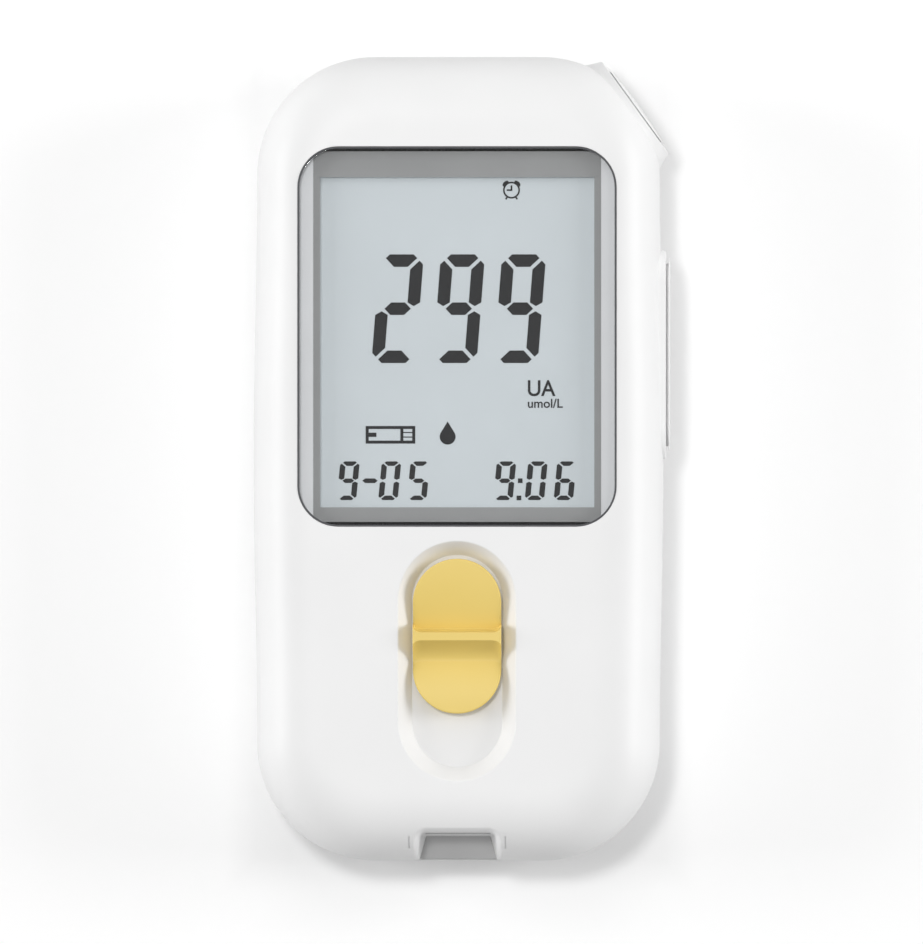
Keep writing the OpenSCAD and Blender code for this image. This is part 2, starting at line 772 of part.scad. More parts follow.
// Slots for the two contact leads that rise to the board
module lead_slots(z0, z1) {
  for (s = [-1, 1]) block(
    [s * cell_x - lead_w / 2 - 0.2, bay_y0 - 0.2, z0],
    [s * cell_x + lead_w / 2 + 0.2, bay_y0 + plate_t + 0.2, z1]
  );
}
module rear_cover() {
  color("white") difference() {
    union() {
      difference() {
        union() {
          outer_rear();
          below(part_z) corner_boss();
          below(part_z) side_boss();
        }
        difference() {
          inner_rear();
          rear_inside();
        }
      }
      bay_box(bay_wall, rear_in_z, roof_z + roof_t);
      difference() {
        translate([0, 0, part_z - eps]) linear_extrude(eps + lip_h) difference() {
          polygon(case_ring(wall - lip_t));
          polygon(case_ring(wall));
        }
        block([-guide_w / 2 - 1, -case_hl, part_z], [guide_w / 2 + 1, notch_back + 2, part_z + 2]);
        for (s = [-1, 1]) block(
          [s * (notch_w / 2 + notch_tub / 2) - 2, -case_hl, part_z],
          [s * (notch_w / 2 + notch_tub / 2) + 2, notch_back + 2, part_z + 2]
        );
        corner_axes() rod_x(corner_boss_r + 1.6, collar_u, corner_face_u + 2);
        side_axes(pivot_x) linear_extrude(case_hw)
          stadium(side_boss_w / 2 + side_draft + 0.2, side_boss_l - side_boss_w + 0.4);
      }
    }
    bay_box(0, rear_in_z - eps, roof_z);
    lead_slots(roof_z - eps, board_z);
    door_cutter();
    corner_cutter();
    side_cutter();
    for (p = case_posts) {
      post(p, counter_r, -eps, screw_seat_z);
      post(p, screw_d / 2 + 0.15, -eps, part_z + eps);
    }
    for (f = feet) post(f, foot_d / 2 + 0.05, -eps, rear_z + foot_sink);
    post([pivot_x, side_y], pivot_d / 2 + 0.02, part_z - hub_h / 2 - lug_gap - pin_bite, part_z);
    for (a = [0:60:300]) post([2.6 * cos(a), buzzer_y + 2.6 * sin(a)], 0.5, -eps, rear_in_z + eps);
    post([0, buzzer_y], 0.5, -eps, rear_in_z + eps);
  }
}

module case_screws() {
  color("silver") for (p = case_posts) difference() {
    union() {
      post(p, screw_head_d / 2, screw_seat_z - screw_head_t, screw_seat_z);
      post(p, screw_d / 2, screw_seat_z - 0.1, screw_seat_z + screw_l);
    }
    for (a = [0, 90]) translate([p[0], p[1], screw_seat_z - screw_head_t]) rotate([0, 0, a])
      cube([2.2, 0.5, 1.4], center = true);
  }
}

module board_screws() {
  color("silver") for (p = board_posts) difference() {
    union() {
      post(p, board_head_d / 2, board_z - board_head_t, board_z);
      post(p, board_screw_d / 2, board_z - 0.1, board_top + board_bite);
    }
    for (a = [0, 90]) translate([p[0], p[1], board_z - board_head_t]) rotate([0, 0, a])
      cube([1.6, 0.4, 1], center = true);
  }
}

module rubber_feet() {
  color("dimgray") for (f = feet) translate([f[0], f[1], 0]) rotate_extrude()
    polygon([
      [0, 0], [foot_d / 2 - 0.3, 0], [foot_d / 2, 0.3],
      [foot_d / 2, rear_z + foot_sink], [0, rear_z + foot_sink]
    ]);
}

// ---------------------------------------------------------------- window and display

module display_window() {
  gap = 2 * (gasket_w + trim_gap);
  color("white", 0.35) translate([0, window_y, lens_z]) linear_extrude(lens_t)
    round_rect(window_w - gap, window_h - gap, window_r - gap / 2);
}

module window_gasket() {
  outer = 2 * trim_gap;
  inner = 2 * gasket_w;
  color("dimgray") translate([0, window_y, lens_z]) linear_extrude(lens_t + 0.05) difference() {
    round_rect(window_w - outer, window_h - outer, window_r - outer / 2);
    round_rect(window_w - inner, window_h - inner, window_r - inner / 2);
  }
}

module window_mask() {
  edge = 2 * gasket_w;
  color("gray") translate([0, window_y, mask_z]) linear_extrude(film_t) difference() {
    intersection() {
      round_rect(window_w - edge, window_h - edge, window_r - edge / 2);
      square([mask_w, window_h], center = true);
    }
    translate([0, -lcd_drop]) square([lcd_w, lcd_h], center = true);
  }
}

module glass_sheet(w, l, z, t) {
  translate([0, lcd_y, z + t / 2]) cube([w, l, t], center = true);
}

module lcd_front_polariser() {
  color("lightsteelblue", 0.5) glass_sheet(lcd_w + 0.6, lcd_h + 0.4, polariser_z, film_t);
}

module lcd_front_glass() {
  color("lightcyan", 0.5) glass_sheet(glass_w, front_glass_l, front_glass_z, glass_t);
}

module lcd_rear_glass() {
  color("lightcyan", 0.5) glass_sheet(glass_w, rear_glass_l, rear_glass_z, glass_t);
}

module lcd_reflector() {
  color("lightgray") glass_sheet(glass_w, rear_glass_l, reflector_z, film_t);
}

// One bar of a digit: flags of the seven bars a to g for each digit
function bars(n) = [
  [1, 1, 1, 1, 1, 1, 0], [0, 1, 1, 0, 0, 0, 0], [1, 1, 0, 1, 1, 0, 1], [1, 1, 1, 1, 0, 0, 1],
  [0, 1, 1, 0, 0, 1, 1], [1, 0, 1, 1, 0, 1, 1], [1, 0, 1, 1, 1, 1, 1], [1, 1, 1, 0, 0, 0, 0],
  [1, 1, 1, 1, 1, 1, 1], [1, 1, 1, 1, 0, 1, 1]
][n];

// Outlines of the bars a to g of a digit w wide and h high, t thick with gaps g
function bar_outlines(w, h, t, g) = let (m = h / 2, c = t * 0.3) [
  [[t + g, h - t], [g + c, h - c], [g + 2 * c, h], [w - g - 2 * c, h], [w - g - c, h - c],
   [w - t - g, h - t]],
  [[w - t, h - t - g], [w - c, h - c - g], [w, h - 2 * c - g], [w, m + t / 2], [w - t / 2, m + g],
   [w - t, m + t / 2]],
  [[w - t, t + g], [w - c, c + g], [w, 2 * c + g], [w, m - t / 2], [w - t / 2, m - g],
   [w - t, m - t / 2]],
  [[t + g, t], [g + c, c], [g + 2 * c, 0], [w - g - 2 * c, 0], [w - g - c, c], [w - t - g, t]],
  [[t, t + g], [c, c + g], [0, 2 * c + g], [0, m - t / 2], [t / 2, m - g], [t, m - t / 2]],
  [[t, h - t - g], [c, h - c - g], [0, h - 2 * c - g], [0, m + t / 2], [t / 2, m + g],
   [t, m + t / 2]],
  [[t / 2 + g, m], [t + g, m + t / 2], [w - t - g, m + t / 2], [w - t / 2 - g, m],
   [w - t - g, m - t / 2], [t + g, m - t / 2]]
];

function slanted(points) = [for (p = points) [p[0] + p[1] * tan(digit_slant), p[1]]];

module digit(n, h) {
  outlines = bar_outlines(0.405 * h, h, 0.115 * h, 0.024 * h);
  for (i = [0:6]) if (bars(n)[i] == 1) polygon(slanted(outlines[i]));
}

module big_number() {
  pitch = 0.563 * big_digit_h;
  for (i = [0:2]) translate([(i - 1.425) * pitch, 0]) digit([2, 9, 9][i], big_digit_h);
}

module date_row() {
  h = small_digit_h;
  pitch = 0.745 * h;
  digit(9, h);
  translate([0.64 * h, 0.5 * h])
    polygon([[0, 0], [0.06 * h, 0.06 * h], [0.26 * h, 0.06 * h], [0.32 * h, 0],
             [0.26 * h, -0.06 * h], [0.06 * h, -0.06 * h]]);
  translate([1.07 * h, 0]) digit(0, h);
  translate([1.07 * h + pitch, 0]) digit(5, h);
}

module time_row() {
  h = small_digit_h;
  pitch = 0.745 * h;
  digit(9, h);
  for (y = [0.055, 0.5]) translate([0.6 * h + y * h * tan(digit_slant), y * h])
    square(0.12 * h, center = true);
  translate([0.81 * h, 0]) digit(0, h);
  translate([0.81 * h + pitch, 0]) digit(6, h);
}

// Outline of a test strip with its contact end
module strip_icon() {
  w = 0.15 * lcd_h;
  h = 0.355 * w;
  line = 0.17 * h;
  difference() {
    square([w, h]);
    translate([line, line]) square([w - 2 * line, h - 2 * line]);
  }
  translate([0, 0.38 * h]) square([0.216 * w, 0.24 * h]);
  translate([0.7 * w, 0]) square([line, h]);
  for (q = [0.34, 0.6]) translate([0.7 * w, q * h]) square([0.3 * w, 0.06 * h]);
}

// Drop of blood: a circle with a point above it
module drop_icon() {
  r = 0.024 * lcd_h;
  tip = 2.9 * r;
  a = acos(r / (tip - r));
  circle(r);
  polygon([[-r * sin(a), r * cos(a)], [0, tip - r], [r * sin(a), r * cos(a)]]);
}

// Alarm clock: ring, hands at nine, two bells and two feet
module clock_icon() {
  r = 0.0256 * lcd_h;
  line = 0.19 * r;
  difference() {
    circle(r);
    circle(r - line);
  }
  translate([-line / 2, 0]) square([line, 0.56 * r]);
  translate([-0.56 * r, -line / 2]) square([0.56 * r + line / 2, line]);
  for (s = [-1, 1]) {
    rotate([0, 0, s * 42]) translate([0, 1.11 * r]) intersection() {
      square([0.84 * r, 0.37 * r], center = true);
      translate([0, -0.39 * r]) circle(0.58 * r);
    }
    rotate([0, 0, s * 148]) translate([-line / 2, 0.91 * r]) square([line, 0.37 * r]);
  }
}

module lcd_segments() {
  base = lcd_y - lcd_h / 2;
  left = -lcd_w / 2;
  color("darkslategray") translate([mark_shift, 0, segment_z]) linear_extrude(segment_t) {
    translate([0, base + 0.437 * lcd_h]) big_number();
    translate([left + 0.059 * lcd_w, base + 0.022 * lcd_h]) date_row();
    translate([left + 0.63 * lcd_w, base + 0.022 * lcd_h]) time_row();
    translate([left + 0.161 * lcd_w, base + 0.193 * lcd_h]) strip_icon();
    translate([left + 0.46 * lcd_w, base + 0.214 * lcd_h]) drop_icon();
    translate([left + 0.693 * lcd_w, base + 0.9605 * lcd_h]) clock_icon();
  }
}

module lcd_frame() {
  color("whitesmoke") difference() {
    translate([0, lcd_y, board_top]) linear_extrude(ledge_z - 0.05 - board_top)
      round_rect(frame_w, frame_l, frame_r);
    translate([0, lcd_y, board_top - eps]) linear_extrude(frame_lip_z - board_top + eps)
      square([glass_w + 2 * seat_gap, front_glass_l + 2 * seat_gap], center = true);
    translate([0, lcd_y, frame_lip_z - eps]) linear_extrude(face_z)
      square([lcd_w + 0.8, lcd_h + 0.6], center = true);
  }
}

module elastomer_connectors() {
  y = rear_glass_l / 2 + contact_shelf / 2;
  color("lightpink") for (s = [-1, 1])
    translate([0, lcd_y + s * y, (board_top + front_glass_z) / 2])
      cube([lcd_w, elastomer_w, front_glass_z - board_top], center = true);
}

// ---------------------------------------------------------------- board and what it carries

module main_board() {
  color("darkgreen") difference() {
    translate([0, 0, board_z]) linear_extrude(board_t) intersection() {
      polygon(case_ring(board_inset));
      translate([-case_w, board_y0]) square([2 * case_w, board_y1 - board_y0]);
    }
    for (p = case_posts) post(p, post_r + 0.4, board_z - eps, board_top + eps);
    for (p = board_posts) post(p, board_screw_d / 2 + 0.15, board_z - eps, board_top + eps);
    corner_axes() block(
      [corner_switch_u + 0.5, -corner_boss_r - 1.3, -case_hw],
      [corner_r, corner_boss_r + 1.3, case_hw]
    );
    block(
      [pivot_x - lug_w / 2 - 0.3, side_y - lug_l / 2 - 0.3, board_z - eps],
      [case_hw, side_y + lug_l / 2 + 0.3, board_top + eps]
    );
    block(
      [-finger_slot_w / 2, finger_slot_y0, board_z - eps],
      [finger_slot_w / 2, finger_slot_y1, board_top + eps]
    );
    lead_slots(board_z - eps, board_top + eps);
  }
}

// Flat chip under the board with n leads on each long side, and on all four if quad is true
module chip(w, l, h, n, pitch, quad) {
  translate([0, 0, -h / 2 - 0.1]) cube([w, l, h], center = true);
  for (turn = quad ? [0, 90] : [0]) rotate([0, 0, turn])
    for (s = [-1, 1]) for (i = [0:n - 1])
      translate([s * (w / 2 + 0.4), (i - (n - 1) / 2) * pitch, -0.35])
        cube([1, pitch / 2, 0.7], center = true);
}

// Place under the board: s = -1 left or 1 right, q of the way from board screw to case post
module under_board(s, q, z) {
  translate([s * chip_x, chip_y1 - q * chip_room, board_z - z]) children();
}

module controller_chip() {
  color("black") under_board(-1, 0.5, 0)
    chip(0.49 * chip_room, 0.49 * chip_room, chip_h, 10, 0.043 * chip_room, true);
}

module analog_chip() {
  color("black") under_board(1, 0.225, 0)
    chip(0.31 * chip_span, 0.43 * chip_room, chip_h, 6, 0.069 * chip_room, false);
}

module memory_chip() {
  color("black") under_board(1, 0.705, 0)
    chip(0.31 * chip_span, 0.27 * chip_room, chip_h, 4, 0.069 * chip_room, false);
}

module clock_crystal() {
  color("silver") under_board(-1, 0.1, crystal_r) {
    rod_x(crystal_r, -3 * crystal_r, 3 * crystal_r);
    for (s = [-0.35, 0.35]) translate([0, s * crystal_r, 0])
      rod_x(0.15 * crystal_r, 2.9 * crystal_r, 4.2 * crystal_r);
  }
}

module chip_passives() {
  color("tan") {
    for (i = [0:6]) translate([bay_w / 2 + bay_wall + 2.2, 4 * i, board_z - 0.3])
      cube([1.2, 2, 0.6], center = true);
    for (i = [0:6]) translate([-bay_w / 2 - bay_wall - 2.6, 4 * i, board_z - 0.4])
      cube([1.6, 2, 0.8], center = true);
    for (i = [0:3]) translate([3.4 + 1.8 * i, board_y1 - 1.4, board_z - 0.3])
      cube([0.8, 1.6, 0.6], center = true);
  }
}

module buzzer() {
  color("black") difference() {
    post([0, buzzer_y], buzzer_d / 2, board_z - 3.2, board_z);
    post([0, buzzer_y], 1, board_z - 3.7, board_z - 2);
  }
}

// Sloping tongue in the notch, with the mouth that leads a strip into the connector
module strip_guide() {
  front_z = notch_floor_z - notch_floor_drop;
  mouth = notch_ring(guide_z)[1];
  bend = notch_ring(guide_z)[2];
  front_y = -case_hl + 0.25;
  bend_y = bend[1];
  back_x = bend[0] - seat_gap;
  front_x = mix(mouth[0], bend[0], (front_y - mouth[1]) / (bend[1] - mouth[1])) - seat_gap;
  color("gray") difference() {
    union() {
      translate([0, 0, guide_z]) linear_extrude(notch_floor_z - guide_z) polygon([
        [-front_x, front_y], [front_x, front_y], [back_x, bend_y],
        [back_x, notch_floor_back + 0.1], [-back_x, notch_floor_back + 0.1], [-back_x, bend_y]
      ]);
      block([-guide_w / 2, notch_floor_back, guide_z], [guide_w / 2, guide_y1, guide_top]);
      block([-back_x, front_y, part_z], [back_x, -case_hl + wall, guide_z + 0.01]);
    }
    translate([-case_hw, -case_hl - eps, front_z])
      rotate([atan(notch_floor_drop / (notch_l - notch_draft)), 0, 0])
      cube([case_w, notch_l - notch_draft + eps, case_w]);
    block(
      [-strip_w / 2, notch_floor_back - eps, strip_z - strip_h / 2],
      [strip_w / 2, guide_y1 + eps, strip_z + strip_h / 2]
    );
  }
}

module strip_connector() {
  color("black") difference() {
    block([-connector_w / 2, connector_y0, connector_z], [connector_w / 2, connector_y1, board_z]);
    block(
      [-strip_w / 2, connector_y0 - eps, strip_z - strip_h / 2],
      [strip_w / 2, connector_y1 + eps, strip_z + strip_h / 2]
    );
    block(
      [-finger_slot_w / 2, finger_slot_y0, strip_z],
      [finger_slot_w / 2, connector_y1 + eps, board_z + eps]
    );
    for (i = [0:contact_n - 1]) translate([(i - (contact_n - 1) / 2) * contact_pitch, 0, 0]) block(
      [-contact_w / 2 - 0.1, connector_y0 + 2.5, connector_z - eps],
      [contact_w / 2 + 0.1, connector_y1 + eps, strip_z]
    );
  }
}

// Leaf springs that touch a strip from below, with their tails on the board
module strip_contacts() {
  tail = connector_y1 + 0.05;
  low = connector_z + 0.2;
  top = strip_z - strip_h / 2 + 0.1;
  tip = connector_y0 + 3;
  leaf = [[tail, low], [tip + 4.5, low], [tip + 1.6, top], [tip, low + 0.5]];
  color("gold") for (i = [0:contact_n - 1])
    translate([(i - (contact_n - 1) / 2) * contact_pitch - contact_w / 2, 0, 0])
      rotate([90, 0, 90]) linear_extrude(contact_w) {
        polygon(concat(leaf, reversed([for (p = leaf) [p[0], p[1] + contact_t]])));
        translate([tail - 0.01, low]) square([contact_t, board_z - low]);
      }
}

// ---------------------------------------------------------------- switches

// Side-push switch: its face at x = 0, its plunger on the X axis
module switch_body() {
  color("black") difference() {
    block([-switch_d, -switch_w / 2, -switch_h / 2], [0, switch_w / 2, switch_h / 2]);
    block(
      [-cavity_d, -plunger_w / 2 - 0.1, -plunger_h / 2 - 0.1],
      [eps, plunger_w / 2 + 0.1, plunger_h / 2 + 0.1]
    );
  }
}

module switch_plunger() {
  color("ivory") block(
    [-plunger_in, -plunger_w / 2, -plunger_h / 2], [plunger_out, plunger_w / 2, plunger_h / 2]
  );
}

module at_corner_switch() {
  corner_axes() translate([corner_switch_u, 0, switch_z - corner_z]) children();
}

module at_side_switch(s) {
  translate([side_switch_x, side_y + s * rocker_arm, switch_z]) children();
}

module corner_switch() {
  at_corner_switch() switch_body();
}

module corner_switch_plunger() {
  at_corner_switch() switch_plunger();
}

module side_switch_upper() {
  at_side_switch(1) switch_body();
}

module side_switch_lower() {
  at_side_switch(-1) switch_body();
}

module side_plunger_upper() {
  at_side_switch(1) switch_plunger();
}

module side_plunger_lower() {
  at_side_switch(-1) switch_plunger();
}

// ---------------------------------------------------------------- keys

module corner_key() {
  r = corner_key_d / 2;
  cap_r = (r * r + dome_h * dome_h) / (2 * dome_h);
  nub_z = switch_z - corner_z;
  color("white") corner_axes() {
    rotate([0, 90, 0]) rotate_extrude() polygon(concat(
      [[0, corner_face_u - 1.2], [r - 1.2, corner_face_u - 1.2], [r - 1.2, flange_u],
       [flange_r, flange_u], [flange_r, flange_u + flange_t], [r, flange_u + flange_t]],
      [for (i = [dome_n:-1:0]) let (q = r * i / dome_n)
        [q, corner_face_u + dome_h - cap_r + sqrt(cap_r * cap_r - q * q)]]
    ));
    block(
      [flange_u, -nub_w / 2, -r + 0.6], [flange_u + flange_t, nub_w / 2, r - 0.6]
    );
    block(
      [flange_u - corner_nub_l, -nub_w / 2, nub_z - nub_t / 2],
      [flange_u + 0.1, nub_w / 2, nub_z + nub_t / 2]
    );
  }
}

module side_key() {
  span = side_key_l - side_key_w;
  bevel = 0.25;
  top = switch_z + nub_t / 2;
  color("white") {
    side_axes(side_flange_x1 - 0.1)
      linear_extrude(side_key_x - bevel - side_flange_x1 + 0.1) stadium(side_key_w / 2, span);
    side_axes(side_key_x - bevel)
      drafted_stadium(side_key_w / 2, side_key_w / 2 - bevel, span, bevel);
    difference() {
      union() {
        side_axes(side_flange_x0) linear_extrude(side_flange_t)
          stadium(side_key_w / 2 + side_flange_lap, span);
        for (s = [-1, 1]) {
          block(
            [side_flange_x0, side_y + s * rocker_arm - nub_w / 2, part_z],
            [side_flange_x1, side_y + s * rocker_arm + nub_w / 2, top]
          );
          block(
            [side_flange_x0 - side_nub_l, side_y + s * rocker_arm - nub_w / 2, top - nub_t],
            [side_flange_x0 + 0.1, side_y + s * rocker_arm + nub_w / 2, top]
          );
        }
      }
      for (z = [part_z - side_key_w, part_z + hub_h / 2]) block(
        [side_flange_x0 - eps, side_y - lug_l / 2 - 0.4, z],
        [pivot_x + lug_w / 2 + 0.2, side_y + lug_l / 2 + 0.4, z + side_key_w - hub_h / 2]
      );
    }
    difference() {
      union() {
        post([pivot_x, side_y], hub_d / 2, part_z - hub_h / 2, part_z + hub_h / 2);
        block(
          [pivot_x, side_y - hub_d / 2, part_z - hub_h / 2],
          [side_flange_x0 + 0.1, side_y + hub_d / 2, part_z + hub_h / 2]
        );
      }
      post([pivot_x, side_y], pivot_d / 2 + 0.05, part_z - hub_h, part_z + hub_h);
    }
  }
}

module side_key_pin() {
  half = hub_h / 2 + lug_gap + pin_bite - 0.1;
  color("silver") post([pivot_x, side_y], pivot_d / 2, part_z - half, part_z + half);
}

// ---------------------------------------------------------------- slider

// Height of the knob's top at a distance from the crest's edge, where the climb is run long
function scoop_height(a, run) =
  a <= 0 ? rib_crest
  : a < run ? scoop_z + (rib_crest - scoop_z) * pow(1 - a / run, 2)
  : let (share = (a - run) / (knob_l / 2 - crest_w / 2 - run))
    scoop_z + (pad_end_z - scoop_z) * (1 - pow(1 - share, 2.5));

// Side view of the top from the crest to the end on side s, steep above and long below
function scoop_line(s) =
  let (run = s > 0 ? scoop_up : scoop_low, far = knob_l / 2 - crest_w / 2)
  [for (a = concat(
    [for (i = [0:scoop_n]) run * i / scoop_n],
    [for (i = [1:scoop_n]) run + (far - run) * i / scoop_n]
  )) [s * (crest_w / 2 + a), scoop_height(a, run)]];

module slider_knob() {
  side = concat(
    [[-knob_l / 2, knob_z], [knob_l / 2, knob_z]], reversed(scoop_line(1)), scoop_line(-1)
  );
  color("khaki") translate([0, knob_y, 0]) difference() {
    union() {
      intersection() {
        translate([-knob_w / 2, 0, 0]) rotate([90, 0, 90]) linear_extrude(knob_w) polygon(side);
        linear_extrude(rib_crest + 1) stadium(knob_w / 2, knob_l - knob_w);
      }
      translate([0, 0, stem_z]) linear_extrude(knob_z + 0.1 - stem_z)
        stadium(stem_w / 2, stem_l - stem_w);
    }
    post([0, 0], knob_screw_d / 2 - 0.02, stem_z - eps, knob_z + 0.9);
  }
}

module ejector_carriage() {
  color("whitesmoke") translate([0, knob_y, 0]) difference() {
    union() {
      block(
        [-carriage_w / 2, -carriage_l / 2, carriage_z0],
        [carriage_w / 2, carriage_l / 2, carriage_z1]
      );
      block(
        [-spring_x - 1.5, ear_y - knob_y - ear_l / 2, carriage_z0],
        [spring_x + 1.5, ear_y - knob_y + ear_l / 2, carriage_z1]
      );
      block(
        [-finger_w / 2 - 1, -finger_reach - finger_t / 2 - 0.8, carriage_z0],
        [finger_w / 2 + 1, 0, carriage_z1]
      );
    }
    translate([0, 0, stem_z]) linear_extrude(face_z)
      stadium(stem_w / 2 + trim_gap, stem_l - stem_w);
    post([0, 0], knob_screw_d / 2 + 0.1, carriage_z0 - eps, face_z);
    post([0, 0], knob_head_d / 2 + 0.1, carriage_z0 - eps, carriage_z0 + knob_head_t);
    translate([0, -finger_reach, 0])
      block([-finger_w / 2, -finger_t / 2, carriage_z0 - eps], [finger_w / 2, finger_t / 2, face_z]);
  }
}

module ejector_pusher() {
  color("white") translate([0, finger_y, 0]) {
    block([-finger_w / 2, -finger_t / 2, finger_z], [finger_w / 2, finger_t / 2, carriage_z1]);
    block(
      [-finger_w / 2 - 0.4, -finger_t / 2, carriage_z0 - 0.3],
      [finger_w / 2 + 0.4, finger_t / 2, carriage_z0]
    );
  }
}

module knob_screw() {
  color("silver") translate([0, knob_y, 0]) difference() {
    union() {
      post([0, 0], knob_head_d / 2, carriage_z0, carriage_z0 + knob_head_t);
      post([0, 0], knob_screw_d / 2 - 0.04, carriage_z0, knob_z + 0.8);
    }
    for (a = [0, 90]) translate([0, 0, carriage_z0]) rotate([0, 0, a])
      cube([1.7, 0.4, 0.7], center = true);
  }
}

module return_springs() {
  color("silver") for (s = [-1, 1])
    translate([s * spring_x, spring_y0, spring_z]) rotate([-90, 0, 0])
      skin(coil_rings((spring_od - spring_wire) / 2, (spring_od - spring_wire) / 2,
                      return_l, spring_wire, 9, 10, 5));
}

// ---------------------------------------------------------------- batteries and their door

module battery(s) {
  r = cell_d / 2;
  far = s > 0 ? bay_y1 - plate_t : bay_y0 + plate_t;
  translate([-s * cell_x, far, cell_z]) rotate([s > 0 ? 90 : -90, 0, 0]) rotate_extrude()
    polygon([
      [0, 0], [1.9, 0], [1.9, nub_h], [r - 0.5, nub_h], [r, nub_h + 0.5],
      [r, nub_h + cell_l - 0.5], [r - 0.5, nub_h + cell_l], [0, nub_h + cell_l]
    ]);
}

module battery_left() {
  color("darkslateblue") battery(1);
}

module battery_right() {
  color("darkslateblue") battery(-1);
}

module battery_springs() {
  rings = coil_rings(3.4, 2.3, cell_spring_l, 0.6, 4, 12, 6);
  color("silver") {
    translate([-cell_x, bay_y0 + plate_t, cell_z]) rotate([-90, 0, 0]) skin(rings);
    translate([cell_x, bay_y1 - plate_t, cell_z]) rotate([90, 0, 0]) skin(rings);
  }
}

module battery_contact_plates() {
  color("silver") for (s = [-1, 1]) translate([s * cell_x, bay_y0, 0]) {
    block([-4.4, 0, cell_z - 4.2], [4.4, plate_t, roof_z]);
    block([-lead_w / 2, 0, roof_z - 0.1], [lead_w / 2, plate_t, board_top + 0.3]);
  }
}

module battery_bridge_plate() {
  color("silver") block(
    [-bay_w / 2 + 0.7, bay_y1 - plate_t, cell_z - 3.6], [bay_w / 2 - 0.7, bay_y1, roof_z - 0.3]
  );
}

module battery_door() {
  color("white") difference() {
    union() {
      block([-door_w / 2, door_y0, rear_z], [door_w / 2, door_y1, door_z]);
      for (s = [-1, 1]) translate([s * tab_x, door_y1, 0]) {
        block([-tab_w / 2, -tab_root, door_z - 0.1], [tab_w / 2, 0, tab_z + tab_t]);
        block([-tab_w / 2, -tab_root, tab_z], [tab_w / 2, tab_reach, tab_z + tab_t]);
      }
    }
    for (i = [0:4]) block(
      [-4, door_y0 + 3 + 1.6 * i, rear_z - eps], [4, door_y0 + 3.8 + 1.6 * i, rear_z + 0.4]
    );
  }
}

// Springy tongue at the free end of the door: a U with a nose that catches behind the rear wall
module door_latch() {
  y1 = -latch_t - 0.3;
  y0 = -latch_l;
  nose_z = rear_in_z + door_gap;
  color("white") translate([-latch_w / 2, door_y0, 0]) rotate([90, 0, 90]) linear_extrude(latch_w)
    polygon([
      [0, rear_z], [0, door_z], [y1 + latch_t, door_z], [y1 + latch_t, latch_h],
      [y1 + latch_t - 0.5, latch_h + 0.5], [y0 + 0.5, latch_h + 0.5], [y0, latch_h],
      [y0, nose_z + 1.2], [y0 - latch_nose, nose_z + 0.4], [y0 - latch_nose, nose_z], [y0, nose_z],
      [y0, rear_z], [y0 + latch_t, rear_z], [y0 + latch_t, latch_h - 0.3], [y1, latch_h - 0.3],
      [y1, rear_z]
    ]);
}

module door_pad() {
  color("dimgray") block(
    [-pad_w / 2, (door_y0 + door_y1 - pad_l) / 2, door_z],
    [pad_w / 2, (door_y0 + door_y1 + pad_l) / 2, door_z + cell_gap - 0.05]
  );
}

front_cover();
rear_cover();
display_window();
window_gasket();
window_mask();
lcd_segments();
lcd_front_polariser();
lcd_front_glass();
lcd_rear_glass();
lcd_reflector();
lcd_frame();
elastomer_connectors();
main_board();
controller_chip();
analog_chip();
memory_chip();
clock_crystal();
chip_passives();
buzzer();
strip_guide();
strip_connector();
strip_contacts();
corner_switch();
side_switch_upper();
side_switch_lower();
side_key_pin();
battery_left();
battery_right();
battery_springs();
battery_contact_plates();
battery_bridge_plate();
case_screws();
board_screws();
rubber_feet();
return_springs();
slider_knob();
ejector_carriage();
ejector_pusher();
knob_screw();
corner_key();
corner_switch_plunger();
side_key();
side_plunger_upper();
side_plunger_lower();
battery_door();
door_latch();
door_pad();
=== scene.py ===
"""Looks of a handheld test-strip meter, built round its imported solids.

The case, the keys, the slider, the window and the springs are surfaces worked out with numpy
in millimetres. They are cut and joined with Boolean modifiers, and put into the frame in
metres. The solids that stay get procedural finishes.
"""

import json
import logging
import math
from dataclasses import dataclass
from enum import Enum
from typing import Callable, Sequence

import bpy
import numpy as np
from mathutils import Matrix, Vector


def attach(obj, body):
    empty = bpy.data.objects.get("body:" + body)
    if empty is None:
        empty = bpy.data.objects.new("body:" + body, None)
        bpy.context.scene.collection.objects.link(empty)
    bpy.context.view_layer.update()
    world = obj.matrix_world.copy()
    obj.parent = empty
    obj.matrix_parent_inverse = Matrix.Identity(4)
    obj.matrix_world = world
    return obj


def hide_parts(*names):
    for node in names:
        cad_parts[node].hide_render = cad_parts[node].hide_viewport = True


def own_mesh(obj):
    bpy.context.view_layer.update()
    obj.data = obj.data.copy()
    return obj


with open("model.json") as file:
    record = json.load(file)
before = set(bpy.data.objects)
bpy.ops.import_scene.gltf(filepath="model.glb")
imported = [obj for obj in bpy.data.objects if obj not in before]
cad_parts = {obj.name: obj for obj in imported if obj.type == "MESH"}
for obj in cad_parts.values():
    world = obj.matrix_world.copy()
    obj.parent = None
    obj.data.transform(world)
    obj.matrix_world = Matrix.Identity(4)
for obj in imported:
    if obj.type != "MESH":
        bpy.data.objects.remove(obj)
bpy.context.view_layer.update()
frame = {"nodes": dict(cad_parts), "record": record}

LOG = logging.getLogger("meter")
MM = 0.001  # metres in a millimetre
OVER = 1.0  # how far cutters with a rounded edge run past the face that they open
SIDES = (-1, 1)  # signs of X at the left and at the right
WHITE = (1.0, 1.0, 1.0)
BLACK = (0.0, 0.0, 0.0)

Object = bpy.types.Object
Node = bpy.types.Node
Socket = bpy.types.NodeSocket
Array = np.ndarray
Colour = tuple[float, float, float]
Place = tuple[float, float, float]
Pair = tuple[float, float]
Levels = Sequence[Pair]


# ------------------------------------------------------------------ surfaces


class Join(Enum):
    """How one closed surface is combined with others."""

    ADD = "UNION"
    CUT = "DIFFERENCE"


